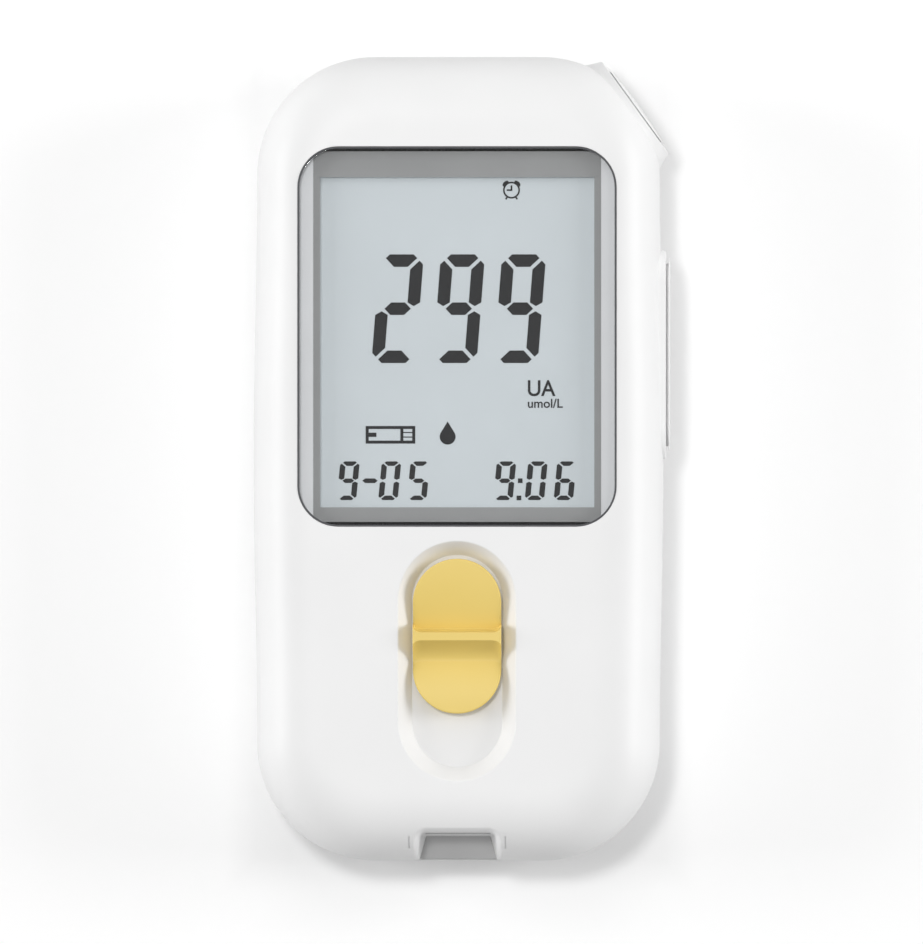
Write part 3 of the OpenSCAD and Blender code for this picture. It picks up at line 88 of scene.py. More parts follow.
@dataclass
class Solid:
    """A closed surface: points in millimetres and faces that run anticlockwise from outside."""

    points: Array
    faces: list[list[int]]

    def placed(self, origin: Place, along: Place, up: Place) -> "Solid":
        """Moves local +Z to the direction along and local +Y to up, with the origin given.

        Each point becomes origin + x (up x along) + y up + z along.

        Args:
            origin: where the local origin goes.
            along: unit direction of the local +Z axis.
            up: unit direction of the local +Y axis, square to along.

        Returns:
            The same surface in its new place.
        """
        z = np.asarray(along, float)
        y = np.asarray(up, float)
        axes = np.stack([np.cross(y, z), y, z])
        return Solid(self.points @ axes + np.asarray(origin, float), self.faces)

    def shifted(self, x: float, y: float) -> "Solid":
        """Moves the surface along X and Y."""
        return Solid(self.points + (x, y, 0.0), self.faces)


def loft(rings: Array) -> Solid:
    """Closed surface through rings of points, with a flat cap at each end.

    Side face (k, i) joins points i and i + 1 of ring k with the same points of ring k + 1.

    Args:
        rings: array (rings, points, 3); each ring runs anticlockwise seen from the last one.

    Returns:
        The closed surface.
    """
    m, n, _ = rings.shape
    index = np.arange(m * n).reshape(m, n)
    after = np.roll(index, -1, axis=1)
    sides = np.stack([index[:-1], after[:-1], after[1:], index[1:]], axis=-1).reshape(-1, 4)
    caps = [index[0, ::-1].tolist(), index[-1].tolist()]
    return Solid(rings.reshape(-1, 3), sides.tolist() + caps)


def raised(outline: Array, z: float) -> Array:
    """Puts an outline (points, 2) at height z, as points (points, 3)."""
    return np.column_stack([outline, np.full(len(outline), z)])


def stack(outline: Callable[[float], Array], levels: Levels) -> Solid:
    """Closed surface whose section at each level is outline(offset) at a height.

    Args:
        outline: gives the points of the section for an offset.
        levels: pairs of offset and height, from low to high.

    Returns:
        The closed surface.
    """
    return loft(np.stack([raised(outline(d), z) for d, z in levels]))


def prism(outline: Array, z0: float, z1: float) -> Solid:
    """Upright walls over an outline, from z0 to z1."""
    return loft(np.stack([raised(outline, z0), raised(outline, z1)]))


def block(low: Sequence[float], high: Sequence[float]) -> Solid:
    """Box between two corners."""
    (x0, y0, z0), (x1, y1, z1) = low, high
    return prism(np.array([[x0, y0], [x1, y0], [x1, y1], [x0, y1]], float), z0, z1)


def lathe(profile: Levels, detail: int = 64) -> Solid:
    """Surface of revolution about +Z through pairs of radius and height.

    Point (k, i) is (r_k cos a_i, r_k sin a_i, z_k), with a_i evenly round the circle.

    Args:
        profile: pairs of radius and height, from low to high.
        detail: points round the circle.

    Returns:
        The closed surface, with flat caps at both ends.
    """
    turn = np.linspace(0, 2 * np.pi, detail, endpoint=False)
    r, z = np.array(profile, float).T[:, :, None]
    return loft(np.stack([r * np.cos(turn), r * np.sin(turn), z + np.zeros(detail)], axis=-1))


def rod(x: float, y: float, radius: float, z0: float, z1: float, detail: int = 40) -> Solid:
    """Upright cylinder at (x, y) from z0 to z1."""
    return lathe([(radius, z0), (radius, z1)], detail).shifted(x, y)


def coil(radii: Pair, length: float, wire: float, turns: float) -> Solid:
    """Coil spring about +Z from 0 to length.

    The wire's centre at turn angle a is (r cos a, r sin a, h), where r and h go evenly from
    end to end. Each section is a circle across the wire in the plane of the axis.

    Args:
        radii: radius of the wire's centre line at both ends.
        length: overall length, wire included.
        wire: diameter of the wire.
        turns: number of turns.

    Returns:
        The closed surface of the wire.
    """
    steps_to_a_turn, sides = 28, 8
    share = np.linspace(0, 1, int(turns * steps_to_a_turn) + 1)[:, None]
    angle = 2 * np.pi * turns * share
    around = np.linspace(0, 2 * np.pi, sides, endpoint=False)
    out = radii[0] + (radii[1] - radii[0]) * share + wire / 2 * np.cos(around)
    height = wire / 2 + (length - wire) * share - wire / 2 * np.sin(around)
    return loft(np.stack([out * np.cos(angle), out * np.sin(angle), height], axis=-1))


# ------------------------------------------------------------------ outlines and levels


def arc(cx: float, cy: float, r: float, start: float, detail: int) -> Array:
    """Quarter circle about (cx, cy) from the angle start, in degrees, both ends included."""
    a = np.radians(np.linspace(start, start + 90, detail + 1))
    return np.column_stack([cx + r * np.cos(a), cy + r * np.sin(a)])


def half_round(radius: float, y: float, start: float, detail: int) -> Array:
    """Half circle about (0, y) from the angle start, in degrees, both ends included."""
    first, second = (arc(0, y, radius, a, detail) for a in (start, start + 90))
    return np.concatenate([first, second[1:]])


def stadium(radius: float, span: float, detail: int = 24) -> Array:
    """Slot outline along Y: half circles of a radius about (0, span / 2) and (0, -span / 2).

    Args:
        radius: radius of the ends.
        span: distance between the centres of the ends.
        detail: points on each quarter circle.

    Returns:
        Outline points (n, 2), anticlockwise from the upper end's right side.
    """
    ends = ((span / 2, 0), (-span / 2, 180))
    return np.concatenate([half_round(radius, y, start, detail) for y, start in ends])


def round_rect(w: float, l: float, r: float, detail: int = 12) -> Array:
    """Rectangle about the origin with rounded corners.

    Args:
        w: size along X.
        l: size along Y.
        r: radius of the corners.
        detail: points on each corner.

    Returns:
        Outline points (n, 2), anticlockwise from the lower right corner.
    """
    x, y = w / 2 - r, l / 2 - r
    corners = [(x, -y, -90), (x, y, 0), (-x, y, 90), (-x, -y, 180)]
    return np.concatenate([arc(cx, cy, r, a, detail) for cx, cy, a in corners])


def slot(radius: float, span: float, levels: Levels, detail: int = 24) -> Solid:
    """Slot shape along Y; each level's offset moves its outline outwards."""
    return stack(lambda d: stadium(radius + d, span, detail), levels)


def pad(w: float, l: float, r: float, levels: Levels, detail: int = 12) -> Solid:
    """Slab with rounded corners; each level's offset moves its outline outwards."""
    return stack(lambda d: round_rect(w + 2 * d, l + 2 * d, r + d, detail), levels)


def rim(z_floor: float, z_face: float, radius: float) -> list[Pair]:
    """Levels of a cutter with straight walls that rounds the edge it cuts at a face.

    Offset is 0 up to one radius below the face, then follows a quarter circle outwards:
    offset = radius (1 - cos a), height = face - radius + radius sin a.

    Args:
        z_floor: height of the cutter's floor.
        z_face: height of the face that it opens.
        radius: radius of the rounded edge.

    Returns:
        Pairs of offset and height.
    """
    a = np.radians([0, 22.5, 45, 67.5, 90])
    edge = zip(radius * (1 - np.cos(a)), z_face - radius + radius * np.sin(a))
    return [(0.0, z_floor), *edge, (radius + 0.01, z_face + OVER)]


def rounded(edge: float, top: float, steps: int) -> list[Pair]:
    """Levels of a rounded upper edge: offset -e (1 - cos a), height top - e + e sin a."""
    a = np.radians(np.linspace(0, 90, steps + 1))
    return list(zip(-edge * (1 - np.cos(a)), top - edge + edge * np.sin(a)))


# ------------------------------------------------------------------ objects


def add_object(name: str, data: bpy.types.ID) -> Object:
    """Makes an object of its data and puts it into the scene.

    Args:
        name: name of the object.
        data: its mesh, curve, light or camera.

    Returns:
        The new object.
    """
    body = bpy.data.objects.new(name, data)
    bpy.context.scene.collection.objects.link(body)
    return body


def make_object(name: str, solids: Sequence[Solid]) -> Object:
    """Makes one mesh object, in metres, of one or more closed surfaces.

    Args:
        name: name of the object.
        solids: the closed surfaces.

    Returns:
        The new object.
    """
    points, faces, start = [], [], 0
    for solid in solids:
        points.append(solid.points)
        faces += [[start + i for i in f] for f in solid.faces]
        start += len(solid.points)
    mesh = bpy.data.meshes.new(name)
    mesh.from_pydata((np.concatenate(points) * MM).tolist(), [], faces)
    mesh.update()
    return add_object(name, mesh)


def reshape(mesh: bpy.types.Mesh, change: Callable[[Array], Array]) -> None:
    """Replaces the points of a mesh by what a function makes of them, in millimetres.

    Args:
        mesh: the mesh.
        change: takes the points (n, 3) and returns the new ones.
    """
    flat = np.empty(len(mesh.vertices) * 3)
    mesh.vertices.foreach_get("co", flat)
    mesh.vertices.foreach_set("co", (change(flat.reshape(-1, 3) / MM) * MM).ravel())


def baked(piece: Object) -> bpy.types.Mesh:
    """Mesh of a piece with its modifiers in it."""
    graph = bpy.context.evaluated_depsgraph_get()
    return bpy.data.meshes.new_from_object(piece.evaluated_get(graph))


def combine(base: Object, how: Join, others: Sequence[Solid | Object]) -> Object:
    """Adds other surfaces to a piece, or cuts them out of it, and deletes them.

    Args:
        base: the piece that is changed.
        how: whether the others are added or cut.
        others: closed surfaces, or objects made of them.

    Returns:
        The piece, with its new mesh.
    """
    for k, other in enumerate(others):
        tool = make_object(f"tool_{k}", [other]) if isinstance(other, Solid) else other
        step = base.modifiers.new("step", "BOOLEAN")
        step.operation = how.value
        step.solver = "MANIFOLD"
        step.object = tool
        mesh = baked(base)
        base.modifiers.clear()
        base.data = mesh
        bpy.data.objects.remove(tool)
        if not len(mesh.polygons):
            raise RuntimeError(f"{base.name}: step {how.value} {k} left nothing")
    return base


def smooth(piece: Object, angle: float = 28.0) -> None:
    """Shades a piece smooth, with crisp edges kept and flat faces left flat.

    The normals at a point lean towards those of its larger faces, so a narrow rounded edge
    bends the light and the flat face beside it does not.

    Args:
        piece: the piece.
        angle: edges sharper than this, in degrees, stay crisp.
    """
    piece.data.shade_smooth()
    piece.data.set_sharp_from_angle(angle=math.radians(angle))
    weigh = piece.modifiers.new("weigh", "WEIGHTED_NORMAL")
    weigh.mode = "FACE_AREA"
    weigh.weight = 100
    weigh.keep_sharp = True
    mesh = baked(piece)
    piece.modifiers.clear()
    piece.data = mesh


# ------------------------------------------------------------------ finishes


class Wiring:
    """Adds shader nodes and links to the node tree of a material or a world."""

    def __init__(self, owner: bpy.types.Material | bpy.types.World) -> None:
        """Starts an empty node tree.

        Args:
            owner: the material or the world.
        """
        owner.use_nodes = True
        self.owner = owner
        self.tree = owner.node_tree
        self.tree.nodes.clear()

    def add(self, kind: str, *inputs: object, **values: object) -> Node:
        """Adds a node and gives its sockets values, or links to other nodes.

        A node stands for its first output.

        Args:
            kind: node type without the ShaderNode prefix.
            inputs: what goes into the first sockets, in order.
            values: properties, or what goes into sockets by name, with _ for a space.

        Returns:
            The new node.
        """
        node = self.tree.nodes.new(f"ShaderNode{kind}")
        sockets = {s.name.replace(" ", "_"): s for s in reversed(node.inputs)}
        given = list(zip(node.inputs, inputs))
        for key, value in values.items():
            if key in sockets:
                given.append((sockets[key], value))
            else:
                setattr(node, key, value)
        for socket, value in given:
            source = value.outputs[0] if isinstance(value, Node) else value
            if isinstance(source, Socket):
                self.tree.links.new(source, socket)
            else:
                socket.default_value = source
        return node

    def place(self) -> Socket:
        """Adds texture coordinates and gives the Object ones."""
        return self.add("TexCoord").outputs["Object"]

    def mottle(self, scale: float, stretch: Colour = WHITE, detail: float = 3.0) -> Socket:
        """Adds noise on Object coordinates, stretched by a factor on each axis.

        Args:
            scale: cells to a metre.
            stretch: factor on each axis.
            detail: octaves of the noise.

        Returns:
            The noise's value.
        """
        turn = self.add("Mapping", self.place(), Scale=stretch)
        noise = self.add("TexNoise", turn, Scale=scale, Detail=detail, Roughness=0.55)
        return noise.outputs["Fac"]

    def between(self, source: Node | Socket, low: float, high: float) -> Node:
        """Maps a value from 0 to 1 to the range from low to high."""
        return self.add("MapRange", source, To_Min=low, To_Max=high)

    def tones(
        self, source: Node | Socket, stops: Sequence[tuple[float, Colour]], blend: str = "LINEAR"
    ) -> Node:
        """Adds a colour ramp over a value.

        Args:
            source: the value.
            stops: pairs of place and colour.
            blend: how colours go over into each other between the stops.

        Returns:
            The ramp.
        """
        ramp = self.add("ValToRGB", source)
        ramp.color_ramp.interpolation = blend
        parts = ramp.color_ramp.elements
        while len(parts) < len(stops):
            parts.new(1.0)
        for part, (at, colour) in zip(parts, stops):
            part.position = at
            part.color = (*colour, 1.0)
        return ramp

    def finish(
        self, shader: Node, kind: str = "OutputMaterial"
    ) -> bpy.types.Material | bpy.types.World:
        """Sends a shader to the output and returns the tree's owner."""
        self.add(kind, Surface=shader)
        return self.owner


def srgb(r: float, g: float, b: float) -> Colour:
    """Linear colour of a display colour.

    Args:
        r: red from 0 to 255.
        g: green.
        b: blue.

    Returns:
        Red, green and blue from 0 to 1, linear.
    """
    c = np.array([r, g, b]) / 255.0
    linear = np.where(c <= 0.04045, c / 12.92, ((c + 0.055) / 1.055) ** 2.4)
    return tuple(float(v) for v in linear)


@dataclass(frozen=True)
class Finish:
    """A solid finish: two close display colours, a grain in the surface and its gloss."""

    name: str
    light: Colour
    dark: Colour
    roughness: float = 0.4
    spread: float = 0.06
    metallic: float = 0.0
    grain: float = 2600.0
    grain_depth: float = 0.004
    tone_scale: float = 60.0
    stretch: Colour = WHITE
    specular: float = 0.5

    def make(self) -> bpy.types.Material:
        """Builds the material.

        The base colour goes between the two tones with a broad noise, the roughness goes up
        and down by the spread with a finer one, and the finer one gives the bump too.

        Returns:
            The new material.
        """
        w = Wiring(bpy.data.materials.new(self.name))
        broad = w.mottle(self.tone_scale, self.stretch)
        fine = w.mottle(self.grain, self.stretch, detail=4.0)
        shader = w.add(
            "BsdfPrincipled",
            Base_Color=w.tones(broad, [(0.3, srgb(*self.dark)), (0.7, srgb(*self.light))]),
            Roughness=w.between(fine, self.roughness - self.spread, self.roughness + self.spread),
            Normal=w.add("Bump", Strength=0.5, Distance=self.grain_depth * MM, Height=fine),
            Metallic=self.metallic,
            Specular_IOR_Level=self.specular,
        )
        return w.finish(shader)


@dataclass(frozen=True)
class ClearFinish:
    """A clear sheet: what lies behind it shows, under a gloss that grows at flat angles."""

    name: str
    tint: Colour
    gloss: float = 0.03
    straight: float = 0.034

    def make(self) -> bpy.types.Material:
        """Builds the material: a tinted see-through shader under a smooth gloss.

        The share of gloss is straight + (1 - straight) f^5, where f is 0 seen square on and 1
        seen edge on. It is the same from both sides of the sheet, so light passes either way.

        Returns:
            The new material.
        """
        w = Wiring(bpy.data.materials.new(self.name))
        low = tuple(0.992 * c for c in self.tint)
        clear = w.add("BsdfTransparent", w.tones(w.mottle(180.0), [(0.3, low), (0.7, self.tint)]))
        gloss = w.add("BsdfGlossy", Roughness=self.gloss, Color=(1, 1, 1, 1))
        facing = w.add("LayerWeight", Blend=0.5).outputs["Facing"]
        share = w.between(w.add("Math", facing, 5.0, operation="POWER"), self.straight, 1.0)
        return w.finish(w.add("MixShader", share, clear, gloss))


@dataclass(frozen=True)
class CellFinish:
    """Wrap of a battery cell: bare metal at both ends and a coloured sleeve between."""

    name: str
    ends: Pair
    band_at: float
    sleeve: Colour = (46, 60, 98)
    band: Colour = (190, 150, 84)
    metal: Colour = (0.62, 0.62, 0.63)
    bare: float = 0.055
    band_half: float = 0.12

    def make(self) -> bpy.types.Material:
        """Builds the material from the place along Y: metal, sleeve, band, sleeve and metal.

        Returns:
            The new material.
        """
        w = Wiring(bpy.data.materials.new(self.name))
        axes = w.add("SeparateXYZ", w.place())
        low, high = self.ends
        along = w.add("MapRange", axes.outputs["Y"], From_Min=low * MM, From_Max=high * MM)
        sleeve, band = srgb(*self.sleeve), srgb(*self.band)
        start, end = self.bare, 1 - self.bare
        stops = [
            (0.0, self.metal), (start, sleeve), (self.band_at - self.band_half, band),
            (self.band_at + self.band_half, sleeve), (end, self.metal),
        ]
        shine = [(0.0, WHITE), (start, BLACK), (end, WHITE)]
        shader = w.add(
            "BsdfPrincipled",
            Base_Color=w.tones(along, stops, "CONSTANT"),
            Metallic=w.tones(along, shine, "CONSTANT"),
            Roughness=w.between(w.mottle(900.0), 0.22, 0.36),
        )
        return w.finish(shader)


@dataclass(frozen=True)
class BoardFinish:
    """Solder mask over copper: green with faint lines of tracks under it."""

    name: str
    mask: Colour
    track: Colour

    def make(self) -> bpy.types.Material:
        """Builds the material: rows of thin lines in the tracks' colour over the mask.

        Returns:
            The new material.
        """
        w = Wiring(bpy.data.materials.new(self.name))
        mask, track = srgb(*self.mask), srgb(*self.track)
        lines = w.add(
            "TexBrick", w.place(), (*mask, 1), (*[0.9 * c for c in mask], 1), (*track, 1),
            Scale=420.0, Mortar_Size=0.06, Brick_Width=1.6, Row_Height=0.35,
        )
        rough = w.between(w.mottle(1500.0), 0.28, 0.42)
        return w.finish(w.add("BsdfPrincipled", lines, Roughness=rough, Coat_Weight=0.3))


class Palette:
    """All finishes of the meter, each made once."""

    cells: dict[str, str] = {"battery_left": "cell_left", "battery_right": "cell_right"}

    def __init__(self) -> None:
        """Builds the materials by slot name."""
        finishes = [
            Finish("white_case", (240,) * 3, (237,) * 3, 0.42, specular=0.35),
            Finish("door_white", (240,) * 3, (237,) * 3, 0.44, specular=0.35),
            Finish("key_white", (243,) * 3, (240,) * 3, 0.34),
            Finish("slider_yellow", (235, 208, 120), (232, 204, 114), 0.42, specular=0.35),
            ClearFinish("clear_window", (0.985, 0.99, 0.995)),
            # gasket_black: the dark grey rim round the window paints the shadow gap between the
            # window and the case
            Finish("gasket_black", (88, 89, 91), (80, 80, 84), 0.7),
            Finish("mask_grey", (162, 162, 161), (159, 159, 158), 0.7, tone_scale=120,
                   grain_depth=0.0008),
            Finish("segment_ink", (42, 42, 43), (36, 36, 37), 0.7, tone_scale=90,
                   grain_depth=0.0005, specular=0.2),
            Finish("polariser_film", (221, 227, 229), (219, 225, 227), 0.7, tone_scale=40,
                   grain_depth=0.0005, specular=0.3),
            ClearFinish("lcd_glass", (0.93, 0.97, 0.96)),
            Finish("reflector_film", (200, 205, 206), (190, 196, 198), 0.3, metallic=0.4),
            Finish("frame_white", (228, 228, 224), (222, 222, 218), 0.5),
            Finish("elastomer_pink", (205, 150, 155), (190, 130, 138), 0.6, stretch=(12, 1, 1)),
            BoardFinish("board_green", (22, 92, 52), (40, 122, 70)),
            Finish("chip_black", (38, 38, 40), (28, 28, 30), 0.5, grain=5200),
            Finish("crystal_can", (205, 206, 208), (188, 189, 192), 0.3, metallic=1.0,
                   stretch=(1, 12, 12)),
            Finish("passive_tan", (150, 116, 84), (120, 92, 66), 0.45, tone_scale=300),
            # guide_grey: the strip guide's grey, darker than the case's white, is painted shade in
            # the notch
            Finish("guide_grey", (197,) * 3, (190,) * 3, 0.6),
            Finish("connector_black", (40, 40, 42), (30, 30, 32), 0.5),
            Finish("gold_spring", (232, 196, 110), (214, 176, 92), 0.26, metallic=1.0),
            Finish("switch_black", (46, 46, 48), (36, 36, 38), 0.45),
            Finish("plunger_ivory", (226, 218, 196), (216, 207, 184), 0.45),
            Finish("steel", (196, 198, 202), (176, 178, 184), 0.28, metallic=1.0, tone_scale=500),
            Finish("nickel_spring", (208,) * 3, (186, 186, 188), 0.22, metallic=1.0,
                   tone_scale=400),
            Finish("rubber_grey", (98, 98, 100), (84, 84, 87), 0.78, grain_depth=0.012),
            Finish("carriage_white", (228, 228, 226), (220, 220, 219), 0.38),
            Finish("pad_foam", (78, 78, 80), (60, 60, 62), 0.9, grain=1500, grain_depth=0.04),
            CellFinish("cell_left", (-7.0, 36.5), 0.84),
            CellFinish("cell_right", (-10.9, 32.6), 0.16),
        ]
        self.made = {f.name: f.make() for f in finishes}

    def dress_solids(self, nodes: dict[str, Object], slots: dict[str, str]) -> None:
        """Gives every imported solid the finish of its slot, and each cell its own wrap.

        Args:
            nodes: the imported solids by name.
            slots: slot name of each node.
        """
        for name, node in nodes.items():
            finish = self.made[self.cells.get(name, slots[name])]
            node.data.materials.clear()
            node.data.materials.append(finish)
            LOG.info("solid %s takes finish %s", name, finish.name)

    def publish(self, piece: Object, body: str, slot: str, *replaced: str) -> None:
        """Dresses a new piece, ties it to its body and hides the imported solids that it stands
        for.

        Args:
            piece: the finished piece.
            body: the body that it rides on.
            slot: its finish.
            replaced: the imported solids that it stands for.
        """
        piece.data.materials.clear()
        piece.data.materials.append(self.made[slot])
        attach(piece, body)
        if replaced:
            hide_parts(*replaced)
        LOG.info("piece %s: %d faces, body %s", piece.name, len(piece.data.polygons), body)


# ------------------------------------------------------------------ sub-assemblies


@dataclass
class CaseForm:
    """Sizes and skins that the two covers share, in millimetres."""

    half_w: float = 26.0
    half_l: float = 51.0
    corner_r: float = 15.0
    bow: float = 0.45
    rear_z: float = 0.4
    part_z: float = 10.0
    face_z: float = 20.4
    wall: float = 1.8
    front_roll: float = 9.0
    rear_roll: float = 7.0
    roll_steps: int = 30
    power: float = 2.6
    groove: float = 0.09
    lip_t: float = 0.8
    lip_h: float = 1.0
    lip_gap: float = 0.1
    coarse: int = 12
    fine: int = 28
    posts: tuple[Pair, ...] = ((-11.5, 45.5), (11.5, 45.5), (-19.0, -38.0), (19.0, -38.0))

    @property
    def corner(self) -> Pair:
        """Centre of the upper right corner's arc."""
        return self.half_w - self.bow - self.corner_r, self.half_l - self.corner_r

    @property
    def under_face(self) -> float:
        """Height a little above the front wall's inside, where inner walls end."""
        return self.face_z - self.wall + 0.1

    def outline(self, inset: float, detail: int | None = None) -> Array:
        """Outline of the case, moved inwards.

        Four quarter circles are joined by straight ends and by sides whose half width is
        half_w - bow - inset + bow cos^2(90 deg y / corner_y).

        Args:
            inset: distance inwards.
            detail: points on each quarter circle; the coarse number where it isn't given.

        Returns:
            Outline points (n, 2), anticlockwise from the lower right corner.
        """
        detail = detail or self.coarse
        cx, cy = self.corner
        r = self.corner_r - inset
        y = np.linspace(-cy, cy, detail + 2)[1:-1]
        x = self.half_w - self.bow - inset + self.bow * np.cos(np.pi / 2 * y / cy) ** 2
        right = np.column_stack([x, y])
        across = np.linspace(cx, -cx, 8)[1:-1]
        end = np.column_stack([across, np.full(len(across), self.half_l - inset)])
        return np.concatenate(
            [
                arc(cx, -cy, r, -90, detail), right, arc(cx, cy, r, 0, detail), end,
                arc(-cx, cy, r, 90, detail), -right, arc(-cx, -cy, r, 180, detail), -end,
            ]
        )

    def roll(self, width: float, height: float, inset: float) -> list[Pair]:
        """Levels of a rolled edge: inset + w (1 - cos^(2/p) t) and z + h sin^(2/p) t.

        Args:
            width: how far the roll reaches inwards.
            height: its height from the parting line, less than 0 towards the rear face.
            inset: distance inwards of its foot.

        Returns:
            Pairs of inset and height, from the parting line on.
        """
        t = np.radians(np.linspace(0, 90, self.roll_steps + 1))
        c = np.maximum(np.cos(t), 0) ** (2 / self.power)
        s = np.sin(t) ** (2 / self.power)
        return list(zip(inset + width * (1 - c), self.part_z + height * s))

    def skin(self, front: bool, inner: bool) -> Solid:
        """Outer or inner skin of one cover, running a little past the parting line.

        Args:
            front: the front cover if true, else the rear one.
            inner: the inside of the wall if true, else the outside.

        Returns:
            The closed surface.
        """
        d = self.wall if inner else 0.0
        reach = (self.face_z - self.part_z if front else self.part_z - self.rear_z) - d
        width = (self.front_roll if front else self.rear_roll) - d
        s = 1 if front else -1
        levels = self.roll(width, s * reach, d)
        if inner:
            levels = [(d, self.part_z - s), *levels]
        else:
            z, g = self.part_z, self.groove
            foot = [(g, z - s), (g, z), (g / 3, z + s * g / 2), (0.0, z + s * g)]
            levels = foot + [v for v in levels if s * (v[1] - z) > 2 * g]
        detail = self.coarse if inner else self.fine
        return stack(lambda inset: self.outline(inset, detail), levels if front else levels[::-1])


@dataclass
class CornerKey:
    """Round key on the slanted boss at the upper right corner."""

    form: CaseForm
    angle: float = 35.9
    axis_z: float = 9.0
    face_u: float = 14.66
    radius: float = 6.2
    gap: float = 0.1
    mouth_edge: float = 0.12
    rim: float = 1.0
    draft: float = 0.38
    boss_h: float = 2.6
    boss_edge: float = 0.22
    shoulder_u: float = 12.56
    collar_t: float = 1.1
    flange_r: float = 6.7
    flange_u: float = 11.66
    flange_t: float = 0.8
    flange_gap: float = 0.3
    dome: float = 0.5
    cap_edge: float = 0.06
    shadow_gap: float = 0.14
    neck_in: float = 0.7
    hollow_in: float = 1.2
    nub_z: float = 13.35
    nub_half: float = 0.6
    bar_half: float = 1.5

    def place(self, solid: Solid) -> Solid:
        """Puts local +Z on the key's line of travel, from the centre of the corner's arc.

        Args:
            solid: a surface in local coordinates.

        Returns:
            The surface in the case's coordinates.
        """
        cx, cy = self.form.corner
        a = math.radians(self.angle)
        return solid.placed((cx, cy, self.axis_z), (math.cos(a), math.sin(a), 0), (0, 0, 1))

    def drum(self, radius: float, low: float, high: float, detail: int = 96) -> Solid:
        """Cylinder about the key's line of travel."""
        return self.place(lathe([(radius, low), (radius, high)], detail))

    def boss(self) -> Solid:
        """Drafted boss with a rounded rim: radius rim_r + draft (face - u) down to its foot.

        Returns:
            The closed surface.
        """
        r = self.radius + self.gap + self.rim
        foot = (self.draft * self.boss_h, self.face_u - self.boss_h)
        levels = [foot, *rounded(self.boss_edge, self.face_u, 4)]
        return self.place(lathe([(r + d, u) for d, u in levels], 96))

    def collar(self) -> Solid:
        """Thick ring behind the wall that the key's flange stops against."""
        r = self.flange_r + self.collar_t
        return self.drum(r, self.flange_u - 1.5, self.shoulder_u + 1, 64)

    def cutters(self) -> list[Solid]:
        """Cutters of the bore with its rounded mouth, of the flange's room and the flat face.

        Returns:
            The closed surfaces.
        """
        r, u = self.radius + self.gap, self.face_u
        mouth = [(r + d, z) for d, z in rim(self.shoulder_u - 0.5, u, self.mouth_edge)]
        room = self.drum(self.flange_r + self.flange_gap, self.flange_u - 2, self.shoulder_u)
        return [self.place(lathe(mouth, 96)), room, self.drum(r + self.rim + 1.5, u, u + 2)]

    def build(self, palette: Palette) -> None:
        """Makes the domed cap with its flange and nub.

        The cap's profile is a shallow arc of height dome over the key's radius, on a narrower
        neck that leaves a shadow gap; the flange and hollow lie below it.

        Args:
            palette: the finishes.
        """
        r, e, u = self.radius, self.cap_edge, self.face_u
        low, high = self.flange_u, self.flange_u + self.flange_t
        lift, neck = u + self.shadow_gap, r - self.neck_in
        a = np.radians(np.linspace(0, 90, 5))
        radii = np.linspace(r - e, 0.02, 16)[1:]
        top = lift + e + (self.dome - self.shadow_gap - e) * (1 - (radii / (r - e)) ** 2)
        profile = [
            (self.flange_r, low), (self.flange_r, high), (r, high), (r, u - 0.3),
            (neck, u - 0.25), (neck, lift), *zip(r - e + e * np.cos(a), lift + e * np.sin(a)),
            *zip(radii, top),
        ]
        key = make_object("corner_key_cap", [self.place(lathe(profile, 96))])
        combine(key, Join.CUT, [self.drum(r - self.hollow_in, low - 1, u - self.hollow_in, 64)])
        z, b, n = self.nub_z - self.axis_z, self.bar_half, self.nub_half
        bar = block((-b, n - r, low), (b, r - n, high))
        nub = block((-b, z - n, low - 1.2), (b, z + n, low + 0.1))
        combine(key, Join.ADD, [self.place(bar), self.place(nub)])
        smooth(key)
        palette.publish(key, "corner_key", "key_white", "corner_key")


